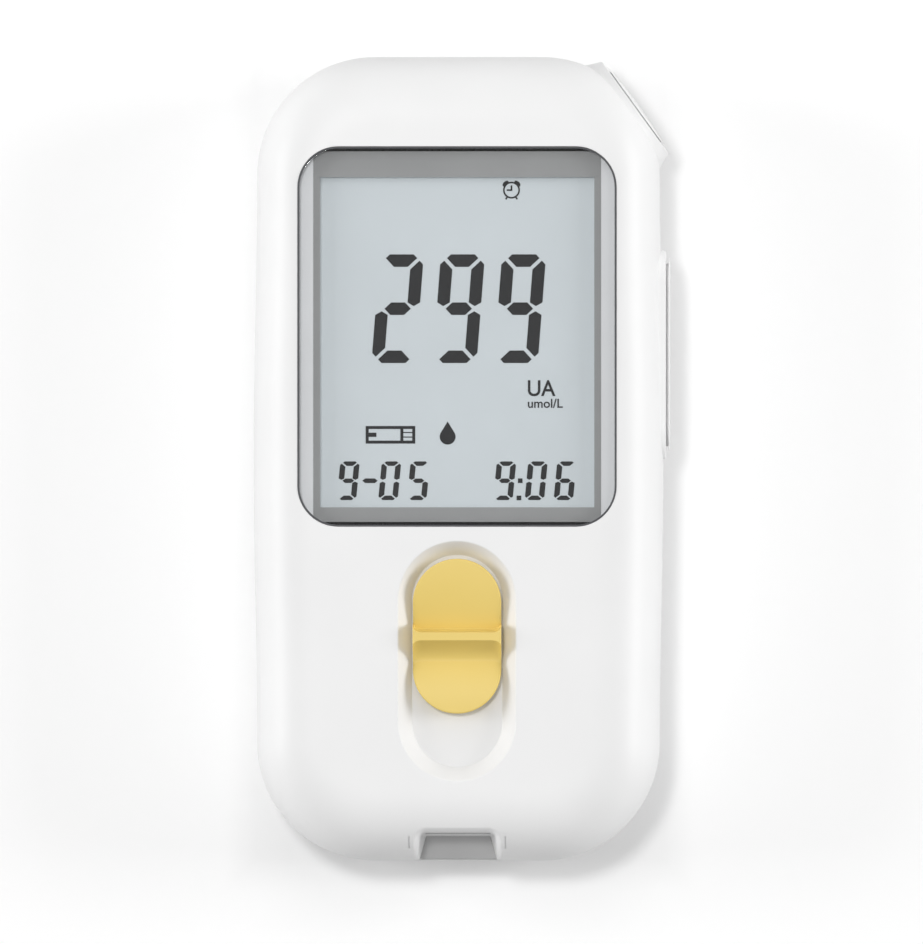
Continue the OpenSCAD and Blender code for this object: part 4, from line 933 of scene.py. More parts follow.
@dataclass
class SideKey:
    """Long rocking key on the right side, in its drafted boss."""

    form: CaseForm
    y: float = 13.2
    length: float = 24.4
    width: float = 6.0
    face_x: float = 26.35
    proud: float = 0.48
    cap: float = 0.17
    cap_edge: float = 0.08
    neck_in: float = 0.6
    rim: float = 1.0
    draft: float = 0.7
    depth: float = 2.5
    boss_edge: float = 0.2
    clear: float = 0.2
    mouth_edge: float = 0.1
    flange_x: float = 22.6
    flange_t: float = 0.6
    flange_out: float = 0.7
    pivot_x: float = 22.0
    pin_r: float = 0.62
    bore_r: float = 0.65
    hub_r: float = 1.5
    hub_half: float = 2.6
    post_half: Pair = (1.2, 2.0)
    arm: float = 8.5
    nub_half: float = 1.5
    nub_t: float = 1.2
    nub_top: float = 13.95

    def slot(self, levels: Levels, wider: float = 0.0, longer: float = 0.0) -> Solid:
        """Slot shape about the key's line of travel, wider and longer than the key's bar."""
        solid = slot(self.width / 2 + wider, self.length - self.width + longer, levels)
        return solid.placed((0.0, self.y, self.form.part_z), (1, 0, 0), (0, 1, 0))

    def boss(self) -> Solid:
        """Drafted boss: slot sections that narrow outwards, with a rounded rim."""
        foot = (self.draft, self.face_x - self.depth)
        return self.slot([foot, *rounded(self.boss_edge, self.face_x, 4)], self.rim)

    def cutters(self) -> list[Solid]:
        """Opening for the key with a rounded mouth."""
        levels = rim(self.pivot_x - 3, self.face_x, self.mouth_edge)
        return [self.slot(levels, self.clear, self.clear)]

    def post(self, z0: float, z1: float) -> Solid:
        """Post of a cover that holds the key's pivot pin."""
        x, y, (a, b) = self.pivot_x, self.y, self.post_half
        return block((x - a, y - b, z0), (x + a, y + b, z1))

    def pin_hole(self, z0: float, z1: float) -> Solid:
        """Hole for the pivot pin in a cover's post."""
        return rod(self.pivot_x, self.y, self.pin_r, z0, z1)

    def build(self, palette: Palette) -> None:
        """Makes the key bar with its flange, hub and nubs.

        The bar's section is a slot outline. A thin cap stands off the boss on a narrower neck,
        and its outer edge follows a quarter circle.

        Args:
            palette: the finishes.
        """
        out = self.face_x + self.proud
        neck, inset = out - self.cap, -self.neck_in
        x0, x1, p = self.flange_x, self.flange_x + self.flange_t, self.form.part_z
        levels = [
            (0.0, x1 - 0.1), (0.0, self.face_x - 0.35), (inset, self.face_x - 0.3),
            (inset, neck), (-0.02, neck + 0.01), *rounded(self.cap_edge, out - 0.02, 5),
            (-0.9, out - 0.01), (-2.4, out),
        ]
        key = make_object("side_key_bar", [self.slot(levels)])
        flange = make_object("flange", [self.slot([(0, x0), (0, x1)], self.flange_out)])
        nubs, n, top = [], self.nub_half, self.nub_top
        for s in SIDES:
            y = self.y + s * self.arm
            nubs += [block((x0 + 0.01, y - n, p), (x1 - 0.08, y + n, top)),
                     block((x0 - 0.6, y - n, top - self.nub_t), (x0 + 0.1, y + n, top))]
        combine(flange, Join.ADD, nubs)
        x, y, r, h = self.pivot_x, self.y, self.hub_r, self.hub_half
        combine(flange, Join.CUT, [
            block((x0 - 1, y - 2.4, z0), (x + 1.4, y + 2.4, z1))
            for z0, z1 in ((p - 6, p - h), (p + h, p + 6))
        ])
        hub = [rod(x, y, r, p - h, p + h), block((x, y - r, p - h), (x0 + 0.1, y + r, p + h))]
        combine(key, Join.ADD, [flange, *hub])
        combine(key, Join.CUT, [rod(x, y, self.bore_r, p - 4, p + 4)])
        smooth(key)
        palette.publish(key, "side_key", "key_white", "side_key")


@dataclass
class Recess:
    """Sloping recess that the slider runs in, and the slider's own sizes."""

    form: CaseForm
    y: float = -25.6
    span: float = 15.4
    floor_r: float = 5.75
    bevel: float = 1.78
    edge: float = 0.25
    wall_heights: tuple[float, ...] = (0.3, 0.8, 1.3, 1.75)
    edge_angles: tuple[float, ...] = (40, 55, 70, 90)
    depth: float = 2.2
    knob_y: float = -22.45
    knob_w: float = 11.2
    knob_l: float = 19.6
    travel: float = 6.8
    rib_proud: float = 0.9
    crest_w: float = 1.0
    stem_r: float = 2.2
    stem_span: float = 0.8

    @property
    def floor_z(self) -> float:
        """Height of the recess floor."""
        return self.form.face_z - self.depth

    def cutters(self) -> list[Solid]:
        """Recess with a sloping wall, a soft foot and a rounded outer edge, and its slot.

        From the floor the wall leans out evenly by the bevel's width; its last part follows
        a quarter circle into the face.

        Returns:
            The closed surfaces.
        """
        face, floor, e = self.form.face_z, self.floor_z, self.edge
        slope = self.bevel / self.depth
        a = np.radians(self.edge_angles)
        turn = list(zip(self.bevel - e * 0.75 + e * (1 - np.cos(a)), face - e + e * np.sin(a)))
        levels = [
            (-0.05, floor), (0.0, floor + 0.04),
            *((slope * h - 0.05, floor + h) for h in self.wall_heights),
            *turn, (turn[-1][0] + 0.01, face + OVER),
        ]
        bowl = slot(self.floor_r, self.span, levels, 32).shifted(0, self.y)
        path = self.stem(0.1, self.stem_span + self.travel, floor - 2, floor + 0.5)
        return [bowl, path.shifted(0, -self.travel / 2)]

    def stem(self, gap: float, span: float, z0: float, z1: float) -> Solid:
        """Slot shape about the knob's middle that is wider than the stem by a gap."""
        return slot(self.stem_r, span, [(gap, z0), (gap, z1)]).shifted(0, self.knob_y)

    def tub(self) -> Solid:
        """Underside of the recess, a slot shape that widens upwards."""
        levels = [(1.1, self.floor_z - 1.0), (2.4, self.form.under_face)]
        return slot(self.floor_r, self.span, levels).shifted(0, self.y)


@dataclass
class SliderKnob:
    """Thumb slider with a cross rib between two scoops."""

    recess: Recess
    flare_w: float = 1.15
    flare_l: float = 0.75
    climbs: Pair = (2.6, 0.5)
    scoop: float = 1.3
    end_drop: float = 0.2
    edge: float = 0.18
    end_detail: int = 24
    screw_r: float = 0.78

    def crest_half(self, x: Array) -> Array:
        """Half width of the rib's crest at a place across the knob.

        It is even in the middle and grows along a quarter circle towards the knob's sides:
        half = crest / 2 + flare_l (1 - sqrt(1 - q^2)), with q from 0 to 1 over flare_w.

        Args:
            x: place across the knob.

        Returns:
            Half widths in millimetres.
        """
        q = np.clip(1 - (self.recess.knob_w / 2 - np.abs(x)) / self.flare_w, 0, 1)
        return self.recess.crest_w / 2 + self.flare_l * (1 - np.sqrt(1 - q**2))

    def top(self, x: Array, y: Array) -> Array:
        """Height of the knob's top.

        With a the distance from the crest's edge, it is low + (crest - low) (1 - a / run)^2
        within the climb beside the rib, and low + (end - low) (1 - (1 - q)^2.5) beyond it,
        with q the share of the way on to the knob's end. The climb is long below the rib and
        short above it.

        Args:
            x: place across the knob.
            y: place along it, from its middle.

        Returns:
            Heights in millimetres.
        """
        r = self.recess
        face = r.form.face_z
        crest, low, end = face + r.rib_proud, face - self.scoop, face - self.end_drop
        half = self.crest_half(x)
        run = np.where(y < 0, *self.climbs)
        a = np.abs(y) - half
        climb = (crest - low) * np.clip(1 - np.maximum(a, 0) / run, 0, 1) ** 2
        share = np.clip((a - run) / (r.knob_l / 2 - half - run), 0, 1)
        return low + climb + (end - low) * (1 - (1 - share) ** 2.5)

    def section(self, inset: float) -> Array:
        """Outline of the knob moved inwards, with points along both edges of the crest.

        Args:
            inset: distance inwards.

        Returns:
            Outline points (n, 2), anticlockwise from the right side.
        """
        r = self.recess
        radius, h = r.knob_w / 2 - inset, (r.knob_l - r.knob_w) / 2
        half = float(self.crest_half(np.array(radius)))
        below, above = (
            np.concatenate([
                np.linspace(h, half + run, 8)[1:-1], half + run * np.linspace(1, 0, 15) ** 1.6,
                np.linspace(half, 0, 4)[1:],
            ])
            for run in self.climbs
        )
        rise = np.concatenate([-below, above[::-1][1:]])
        right = np.column_stack([np.full(len(rise), radius), rise])
        left = right[::-1] * (-1, 1)
        upper = half_round(radius, h, 0, self.end_detail)
        return np.concatenate([right, upper, left, -upper])

    def closing_strip(self, rings: int, points: int) -> list[list[int]]:
        """Faces that close the last ring by joining its right half to its left half.

        Point i on the right faces point c - i on the left, where c = 2 straight + round - 1,
        counted round the ring, with the numbers of points on a straight side and on an end.

        Args:
            rings: number of rings.
            points: number of points on each ring.

        Returns:
            Faces from the lower end of the ring to its upper end.
        """
        round_end = 2 * self.end_detail + 1
        c = points - round_end - 1
        k = np.arange(points // 2) - round_end // 2 - 1
        right = np.stack([k, k + 1, c - k - 1, c - k], axis=-1) % points + (rings - 1) * points
        return [[int(i) for i in dict.fromkeys(f)] for f in right.tolist()]

    def build(self, palette: Palette) -> None:
        """Makes the knob: rings of slot outlines from its foot up its side and over its top.

        Ring k is the outline moved inwards by an offset; its height is the top's height
        there, less a quarter circle near the edge. The last ring is a narrow slot.

        Args:
            palette: the finishes.
        """
        r, e = self.recess, self.edge
        a = np.radians(np.linspace(0, 90, 6))
        inner = np.concatenate([
            np.linspace(e, self.flare_w, 14)[1:],
            np.linspace(self.flare_w, r.knob_w / 2 - 0.02, 12)[1:],
        ])
        offsets = np.concatenate([e * (1 - np.cos(a)), inner])
        drops = np.concatenate([e * (1 - np.sin(a)), np.zeros(len(inner))])
        foot = r.floor_z + 0.15
        rings = [raised(self.section(0.12), foot), raised(self.section(0.0), foot + 0.12)]
        for d, drop in zip(offsets, drops):
            section = self.section(float(d))
            rings.append(np.column_stack([section, self.top(section[:, 0], section[:, 1]) - drop]))
        body = loft(np.stack(rings)).shifted(0, r.knob_y)
        body.faces[-1:] = self.closing_strip(len(rings), len(rings[0]))
        knob = make_object("thumb_slider", [body])
        stem_z = r.floor_z - 1.6
        combine(knob, Join.ADD, [r.stem(0.0, r.stem_span, stem_z, foot + 0.3)])
        combine(knob, Join.CUT, [rod(0, r.knob_y, self.screw_r, stem_z - 0.5, foot + 0.9)])
        smooth(knob, 35)
        palette.publish(knob, "ejector", "slider_yellow", "slider_knob")


@dataclass
class StripNotch:
    """Notch in the lower end that a test strip goes into."""

    form: CaseForm
    top_w: float = 9.9
    floor_w: float = 8.9
    mouth_w: float = 10.4
    edge: float = 0.8
    back_y: float = -47.2
    floor_back_y: float = -47.5
    corner: float = 1.0
    fall: float = 1.7
    foot: Pair = (0.08, 0.42)
    foot_y: float = -48.0
    foot_z: Pair = (9.0, 14.0)
    foot_fade: Pair = (2.0, 2.3)
    mark_x: float = 6.1
    mark_y: Pair = (-49.3, -47.75)
    mark_half: float = 0.08
    mark_depth: float = 0.3
    guide_half: float = 5.7
    guide_back_y: float = -42.9
    guide_top: float = 13.6
    tub_half: float = 7.4
    tub_back_y: float = -45.85

    def surface(self, y: Array) -> Array:
        """Height of the rolled lower end at y: part + h (1 - (1 - d / w)^p)^(1 / p).

        Args:
            y: place along the case.

        Returns:
            Heights in millimetres.
        """
        f = self.form
        away = np.clip((f.half_l + y) / f.front_roll, 0, 1)
        return f.part_z + (f.face_z - f.part_z) * (1 - (1 - away) ** f.power) ** (1 / f.power)

    def spread(self, z: float, y: Array, up: Array) -> Array:
        """How far the wall stands out at height z.

        It is 0 on the wall and follows e (1 - sqrt(1 - q^2)) under the rolled surface, with
        q going from 0 at the depth of the fall to 1 where the rounding meets the surface. It
        is less than 0 at the foot, where the wall meets the strip guide's tongue, whose grey
        paints the shade in the notch.

        Args:
            z: height.
            y: place along the case of each point.
            up: share of the way outwards that goes along the case.

        Returns:
            Distances outwards in millimetres.
        """
        low, high = self.surface(y) - self.fall, self.surface(y + self.edge * up)
        q = np.clip((z - low) / (high - low), 0, 1)
        (z0, z1), (fade0, fade1) = self.foot_z, self.foot_fade
        lean = np.clip((z1 - z) / fade1, 0, 1) * np.clip((z - z0) / fade0, 0, 1)
        reach = np.interp(y, (-self.form.half_l, self.foot_y), self.foot)
        return self.edge * (1 - np.sqrt(1 - q**2)) - reach * lean * (q <= 0)

    def ring(self, z: float) -> Array:
        """Outline of the notch at a height: mouth, wall, round corners, wall.

        Half width, corner radius and place of the back go evenly from the parting line to
        the face.

        Args:
            z: height.

        Returns:
            Outline points (n, 2), anticlockwise from the mouth's right side.
        """
        f = self.form
        low = np.array([self.floor_w / 2, self.corner / 2, self.floor_back_y])
        high = np.array([self.top_w / 2, self.corner, self.back_y])
        back, r, y1 = low + (high - low) * ((z - f.part_z) / (f.face_z - f.part_z))
        mouth, y0 = self.mouth_w / 2, -f.half_l - 1
        side = np.linspace(0, 1, 25)[:-1]
        right = np.column_stack([mouth + (back - mouth) * side, y0 + (y1 - r - y0) * side])
        turn = arc(0, 0, 1, 0, 8)
        half = np.concatenate([right, (back - r, y1 - r) + r * turn])
        away = np.concatenate([np.tile((1.0, 0.0), (len(side), 1)), turn])
        half = half + away * self.spread(z, half[:, 1], away[:, 1])[:, None]
        return np.concatenate([half, half[::-1] * (-1, 1)])

    def marks(self) -> list[Solid]:
        """Cutters of the two short grooves beside the notch, a little below the surface.

        Returns:
            The closed surfaces.
        """
        w, y = self.mark_half, np.linspace(*self.mark_y, 9)
        z = self.surface(y) - self.mark_depth
        rings = [[(-w, v, h + 3), (w, v, h + 3), (w, v, h), (-w, v, h)] for v, h in zip(y, z)]
        groove = loft(np.array(rings))
        return [groove.shifted(s * self.mark_x, 0) for s in SIDES]

    def cutters(self) -> list[Solid]:
        """Notch with a rounded upper edge, room for the strip guide behind it, and grooves.

        Returns:
            The closed surfaces.
        """
        f, half = self.form, self.guide_half
        levels = [f.part_z - 1, *np.linspace(f.part_z, f.face_z, 53), f.face_z + 1]
        rings = np.stack([raised(self.ring(float(z)), float(z)) for z in levels])
        room = block((-half, self.floor_back_y, f.part_z - 1),
                     (half, self.guide_back_y, self.guide_top))
        return [loft(rings), room, *self.marks()]

    def tub(self) -> Solid:
        """Thick wall behind the notch."""
        f, half = self.form, self.tub_half
        return block((-half, -f.half_l, f.part_z - 1), (half, self.tub_back_y, f.under_face))


@dataclass
class Cover:
    """What the two covers share: the case's form and the keys whose bosses they carry."""

    form: CaseForm
    corner_key: CornerKey
    side_key: SideKey

    def shell(self, name: str, front: bool) -> Object:
        """Outer skin of a cover with the bosses of both keys."""
        shell = make_object(name, [self.form.skin(front, inner=False)])
        return combine(shell, Join.ADD, [self.corner_key.boss(), self.side_key.boss()])

    def key_walls(self) -> list[Solid]:
        """What stands inside a cover behind the keys."""
        return [self.corner_key.collar(), self.corner_key.boss(), self.side_key.boss()]

    def key_cutters(self) -> list[Solid]:
        """Openings of both keys."""
        return [*self.corner_key.cutters(), *self.side_key.cutters()]


@dataclass
class FrontCover(Cover):
    """Front cover with the window seat, the recess, the notch and the bosses of the keys."""

    recess: Recess
    notch: StripNotch
    window_w: float = 40.4
    window_h: float = 48.1
    window_r: float = 5.15
    window_y: float = 15.45
    window_edge: float = 0.08
    seat_t: float = 1.2
    display_y: float = 14.75
    display_half: Pair = (17.7, 21.25)
    ledge_z: float = 17.75
    mask_z: float = 18.6
    lens_z: float = 18.75
    mask_w: float = 36.4
    post_r: float = 2.6
    post_bore: float = 1.05
    board_top: float = 15.2
    board_posts: tuple[Pair, ...] = ((-15.5, -15.3), (15.5, -15.3), (0, 41.6))
    board_post_r: float = 1.7
    board_bore: float = 0.85
    stop_x: float = 9.6
    stop_half: float = 1.4
    stop_y: Pair = (-36.45, -35.25)
    stop_z: float = 15.7

    def inside(self) -> list[Solid]:
        """Everything that stands inside the cover.

        Posts, seat of the window, undersides of the recess and the notch, stops of the
        return springs, post of the pivot pin, and walls behind the keys.

        Returns:
            The closed surfaces.
        """
        f, t = self.form, self.seat_t
        top = f.under_face + 0.2
        low = top - 0.2
        seat = round_rect(self.window_w + 2 * t, self.window_h + 2 * t, self.window_r + t)
        solids = [rod(x, y, self.post_r, f.part_z - 1, top) for x, y in f.posts]
        solids += [rod(x, y, self.board_post_r, self.board_top, top) for x, y in self.board_posts]
        solids.append(prism(seat, self.ledge_z, low).shifted(0, self.window_y))
        solids += [self.recess.tub(), self.notch.tub()]
        (y0, y1), z, half = self.stop_y, self.stop_z, self.stop_half
        middles = [s * self.stop_x for s in SIDES]
        solids += [block((x - half, y0, z), (x + half, y1, low)) for x in middles]
        solids.append(self.side_key.post(12.75, top))
        return solids + self.key_walls()

    def window_cutters(self) -> list[Solid]:
        """Seat of the clear window, channel of the mask and opening of the display.

        Returns:
            The closed surfaces.
        """
        levels = rim(self.lens_z, self.form.face_z, self.window_edge)
        seat = pad(self.window_w, self.window_h, self.window_r, levels).shifted(0, self.window_y)
        top = self.lens_z + 0.3
        x, y = self.mask_w / 2 + 0.02, self.window_h / 2 - 0.6
        channel = block((-x, self.window_y - y, self.mask_z), (x, self.window_y + y, top))
        x, y = self.display_half
        hole = block((-x, self.display_y - y, self.ledge_z - 1), (x, self.display_y + y, top))
        return [seat, channel, hole]

    def build(self, palette: Palette) -> None:
        """Makes the cover: outer skin and bosses, less the hollow, less every opening.

        Args:
            palette: the finishes.
        """
        f = self.form
        cover = self.shell("front_shell", front=True)
        hollow = make_object("hollow", [f.skin(front=True, inner=True)])
        rebate = f.outline(f.wall - f.lip_t - f.lip_gap)
        combine(hollow, Join.ADD, [prism(rebate, f.part_z - 1, f.part_z + f.lip_h + f.lip_gap)])
        combine(hollow, Join.CUT, self.inside())
        cutters = [*self.key_cutters(), *self.window_cutters(), *self.recess.cutters(),
                   *self.notch.cutters()]
        cutters += [rod(x, y, self.post_bore, f.part_z - 1, 15.5) for x, y in f.posts]
        low, bore = self.board_top - 1, self.board_bore
        cutters += [rod(x, y, bore, low, 18.0) for x, y in self.board_posts]
        cutters.append(self.side_key.pin_hole(f.part_z, 14.55))
        under = block((-40, -60, -10), (40, 60, f.part_z))
        combine(cover, Join.CUT, [hollow, *cutters, under])
        smooth(cover)
        palette.publish(cover, "case", "white_case", "front_cover")


@dataclass
class BatteryDoor:
    """Door over the battery bay, with two hooks and finger grooves."""

    form: CaseForm
    width: float = 24.3
    y: Pair = (-13.5, 38.6)
    thickness: float = 1.6
    edge: float = 0.2
    corner: float = 0.35
    hook_x: float = 9.05
    hook_half: float = 1.2
    grooves: int = 5
    groove_y: float = 3.4
    groove_step: float = 1.6

    def build(self, palette: Palette) -> None:
        """Makes the door as a slab with rounded edges, then adds hooks and cuts grooves.

        Args:
            palette: the finishes.
        """
        z0, (y0, y1), e = self.form.rear_z, self.y, self.edge
        z1 = z0 + self.thickness
        a = np.radians(np.linspace(90, 0, 5))
        levels = [*zip(-e * (1 - np.cos(a)), z0 + e * (1 - np.sin(a))), (0.0, z1)]
        slab = pad(self.width, y1 - y0, self.corner, levels, 6).shifted(0, (y0 + y1) / 2)
        door = make_object("battery_hatch", [slab])
        hooks = []
        for s in SIDES:
            x, h, tip = s * self.hook_x, self.hook_half, self.hook_half - 0.01
            hooks += [block((x - h, y1 - h, z1 - 0.1), (x + h, y1 - 0.01, z1 + 1.0)),
                      block((x - tip, y1 - tip, z1 + 0.35), (x + tip, y1 + 1.6, z1 + 0.99))]
        combine(door, Join.ADD, hooks)
        levels = [(0.2, z0 - 0.5), (0.15, z0), (0, z0 + 0.12), (-0.1, z0 + 0.35)]
        groove = pad(8, 0.8, 0.39, levels, 6)
        places = [y0 + self.groove_y + self.groove_step * i for i in range(self.grooves)]
        combine(door, Join.CUT, [groove.shifted(0, y) for y in places])
        smooth(door)
        palette.publish(door, "battery_door", "door_white", "battery_door")


@dataclass
class RearCover(Cover):
    """Rear cover with the battery bay, its door opening, the feet's seats and the lip."""

    door: BatteryDoor
    bay_w: float = 21.9
    bay_y: Pair = (-12.3, 37.9)
    bay_top: float = 13.1
    bay_wall: float = 1.2
    door_gap: float = 0.15
    door_wall: float = 1.5
    opening_edge: float = 0.2
    opening_corner: float = 0.3
    latch_size: Pair = (8.6, 3.6)
    latch_corner: float = 0.25
    latch_y: float = -1.59
    latch_room: Pair = (4.3, 4.25)
    hook_pocket: float = 1.5
    contact_x: float = 5.4
    contact_pocket: float = 0.9
    feet: tuple[Pair, ...] = ((-16.55, 34.0), (16.55, 34.0), (-16.55, -30.0), (16.55, -30.0))
    foot_r: float = 3.05
    post_r: float = 3.0
    post_bore: float = 1.15
    head_r: float = 2.2
    buzzer: Pair = (0.0, -20.71)
    sound_ring: float = 2.6
    sound_r: float = 0.5

    def inside(self) -> list[Solid]:
        """Everything that stands inside the cover below the parting line.

        Returns:
            The closed surfaces.
        """
        f, (y0, y1) = self.form, self.door.y
        g = self.door_gap + self.door_wall
        x = self.door.width / 2 + g
        solids = [rod(x, y, self.post_r, 0, f.part_z - 0.1) for x, y in f.posts]
        solids += [rod(x, y, 4.0, 0, 2.6) for x, y in self.feet]
        solids += [block((-x, y0 - g, 0), (x, y1 + g, 3.4)), self.side_key.post(0, 7.25)]
        return solids + self.key_walls()

    def openings(self) -> list[Solid]:
        """Door opening with rounded edges, pockets, latch opening and sound holes.

        Returns:
            The closed surfaces.
        """
        f, g, (y0, y1), (b0, b1) = self.form, self.door_gap, self.door.y, self.bay_y
        z1 = f.rear_z + f.wall
        mouth = rim(2 * f.rear_z - z1, f.rear_z, self.opening_edge)
        flip = [(d, 2 * f.rear_z - z) for d, z in mouth][::-1]
        width, length = 2 * (self.door.width / 2 + g), y1 - y0 + 2 * g
        x, (room_x, room_y) = self.bay_w / 2, self.latch_room
        cut = [
            pad(width, length, self.opening_corner, flip, 6).shifted(0, (y0 + y1) / 2),
            pad(*self.latch_size, self.latch_corner, flip, 6).shifted(0, y0 + self.latch_y),
            block((-x, b0, z1 - 0.5), (x, b1, self.bay_top)),
            block((-room_x, y0 - room_y, z1 - 0.01), (room_x, y0 + 0.1, f.part_z)),
        ]
        for middle, half, low, high in (
            (self.door.hook_x, self.hook_pocket, (y1 - 2.2, z1 - 0.01), (y1 + 2.0, z1 + 1.6)),
            (self.contact_x, self.contact_pocket, (b0 - 0.2, 12.6), (b0 + 0.6, 14.2)),
        ):
            cut += [block((s * middle - half, *low), (s * middle + half, *high)) for s in SIDES]
        ring, (cx, cy) = self.sound_ring, self.buzzer
        around = [(ring * math.cos(a), ring * math.sin(a)) for a in np.radians(range(0, 360, 60))]
        spots = [*around, (0.0, 0.0)]
        return cut + [rod(cx + x, cy + y, self.sound_r, -0.6, 3, 20) for x, y in spots]

    def lip(self) -> Object:
        """Makes the lip that stands in the front cover's rebate, open at the notch and the keys.

        Returns:
            The lip as an object.
        """
        f = self.form
        outside = prism(f.outline(f.wall - f.lip_t), f.part_z - 0.5, f.part_z + f.lip_h)
        return combine(make_object("lip", [outside]), Join.CUT, [
            prism(f.outline(f.wall), f.part_z - 1.5, f.part_z + 3),
            block((-9.0, -60, f.part_z + 0.001), (9.0, -44.8, 20)),
            self.corner_key.drum(8.9, 9, 18, 64),
            self.side_key.slot([(0, 20), (0, 30)], 1.9, 0.4),
        ])

    def build(self, palette: Palette) -> None:
        """Makes the cover: outer skin and bosses, less the hollow, plus bay and lip, less openings.

        Args:
            palette: the finishes.
        """
        f, (b0, b1), t = self.form, self.bay_y, self.bay_wall
        cover = self.shell("rear_shell", front=False)
        hollow = make_object("hollow", [f.skin(front=False, inner=True)])
        combine(hollow, Join.CUT, self.inside())
        combine(cover, Join.CUT, [hollow, block((-40, -60, f.part_z), (40, 60, 40))])
        x = self.bay_w / 2 + t
        combine(cover, Join.ADD, [self.lip(), block((-x, b0 - t, 2.2), (x, b1 + t, 14.0))])
        cutters = [*self.openings(), *self.key_cutters()]
        for x, y in f.posts:
            cutters += [rod(x, y, self.head_r, -1, 5.0),
                        rod(x, y, self.post_bore, 4.5, f.part_z + 0.5)]
        cutters += [rod(x, y, self.foot_r, -1, 0.9) for x, y in self.feet]
        cutters.append(self.side_key.pin_hole(5.45, f.part_z))
        combine(cover, Join.CUT, cutters)
        smooth(cover)
        palette.publish(cover, "case", "white_case", "rear_cover")


@dataclass
class ClearWindow:
    """Clear window with softly rounded upper edges."""

    width: float = 39.86
    height: float = 47.56
    corner: float = 4.88
    edge: float = 0.06
    y: float = 15.45
    z: float = 18.78
    thickness: float = 1.37

    def build(self, palette: Palette) -> None:
        """Makes the window: a slab whose upper edge follows a quarter circle.

        Args:
            palette: the finishes.
        """
        levels = [(0.0, self.z), *rounded(self.edge, self.z + self.thickness, 3)]
        slab = pad(self.width, self.height, self.corner, levels).shifted(0, self.y)
        window = make_object("window_lens", [slab])
        smooth(window)
        palette.publish(window, "case", "clear_window", "display_window")


@dataclass
class DarkMarks:
    """Dark marks of the display, with the small digits of the lowest row drawn wider."""

    row_top: float = 0.9
    starts: tuple[float, ...] = (-12.5, -10.2, -7.0, 3.0, 7.15, 8.4, 11.7)
    widen: float = 1.24
    shift: float = 0.17
    narrow: float = 1.0

    def spread(self, x: Array) -> Array:
        """Widens each mark of the row about its own middle.

        With m the middle of a mark, x becomes m + widen (x - m) + shift. A mark narrower
        than the limit is only shifted.

        Args:
            x: places across the case of all points in the row.

        Returns:
            The new places.
        """
        mark = np.digitize(x, self.starts)
        low, high = (
            np.array([pick(x[mark == k]) for k in range(mark.max() + 1)])
            for pick in (np.min, np.max)
        )
        middle = ((low + high) / 2)[mark]
        factor = np.where(high - low > self.narrow, self.widen, 1.0)[mark]
        return middle + factor * (x - middle) + self.shift

    def widened(self, points: Array) -> Array:
        """Moves the points of the lowest row.

        Args:
            points: points (n, 3) of all marks.

        Returns:
            The new points.
        """
        row = points[:, 1] < self.row_top
        points[row, 0] = self.spread(points[row, 0])
        return points

    def build(self, palette: Palette) -> None:
        """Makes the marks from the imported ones.

        Args:
            palette: the finishes.
        """
        marks = add_object("dark_marks", frame["nodes"]["lcd_segments"].data.copy())
        reshape(marks.data, self.widened)
        palette.publish(marks, "case", "segment_ink", "lcd_segments")


@dataclass
class UnitSigns:
    """Sign of the measured quantity and its unit, thin plates in the plane of the dark marks."""

    z: float = 17.65
    thickness: float = 0.03
    stroke: float = 0.012
    signs: tuple[tuple[str, Pair, Pair], ...] = (
        ("UA", (8.93, 7.91), (12.42, 9.95)),
        ("umol/L", (8.93, 6.43), (13.35, 7.60)),
    )

    def plate(self, text: str, low: Pair, high: Pair) -> Object:
        """Makes one sign and fits its mesh into a box.

        Args:
            text: the letters.
            low: lower left corner of the box.
            high: upper right corner of the box.

        Returns:
            The sign as a mesh object.
        """
        curve = bpy.data.curves.new("sign", "FONT")
        curve.body = text
        curve.extrude = 0.1
        curve.offset = self.stroke
        written = add_object("sign", curve)
        bpy.context.view_layer.update()
        plate = add_object("plate", baked(written))
        bpy.data.objects.remove(written)
        start = np.array([*low, self.z])
        size = np.array([*high, self.z + self.thickness]) - start
        reshape(plate.data, lambda p: start + (p - p.min(0)) / (p.max(0) - p.min(0)) * size)
        return plate

    def build(self, palette: Palette) -> None:
        """Makes the signs as one piece.

        Args:
            palette: the finishes.
        """
        plates = [self.plate(*sign) for sign in self.signs]
        first = plates[0]
        with bpy.context.temp_override(active_object=first, selected_editable_objects=plates):
            bpy.ops.object.join()
        first.name = "unit_signs"
        palette.publish(first, "case", "segment_ink")


@dataclass
class Springs:
    """Coil springs of the ejector and of the battery bay."""

    travel: float
    return_x: float = 9.6
    return_z: float = 16.9
    return_y: float = -35.25
    return_l: float = 13.0
    return_r: float = 0.975
    return_wire: float = 0.35
    return_turns: int = 9
    cell_x: float = 5.4
    cell_z: float = 7.55
    cell_y: Pair = (-11.9, 37.5)
    cell_l: float = 4.9
    cell_radii: Pair = (3.4, 2.3)
    cell_wire: float = 0.6
    cell_turns: int = 4

    def build(self, palette: Palette) -> None:
        """Makes both pairs of springs.

        Args:
            palette: the finishes.
        """
        y, z, up = self.return_y, self.return_z, (0, 0, 1)
        wound = coil((self.return_r,) * 2, self.return_l, self.return_wire, self.return_turns)
        pair = [wound.placed((s * self.return_x, y, z), (0, 1, 0), up) for s in SIDES]
        springs = make_object("return_coils", pair)
        smooth(springs, 60)
        palette.publish(springs, "case", "nickel_spring", "return_springs")
        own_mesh(springs)
        cone = coil(self.cell_radii, self.cell_l, self.cell_wire, self.cell_turns)
        low, high = self.cell_y
        cones = [cone.placed((-self.cell_x, low, self.cell_z), (0, 1, 0), up),
                 cone.placed((self.cell_x, high, self.cell_z), (0, -1, 0), up)]
        cells = make_object("cell_coils", cones)
        smooth(cells, 60)
        palette.publish(cells, "case", "nickel_spring", "battery_springs")


# ------------------------------------------------------------------ stage


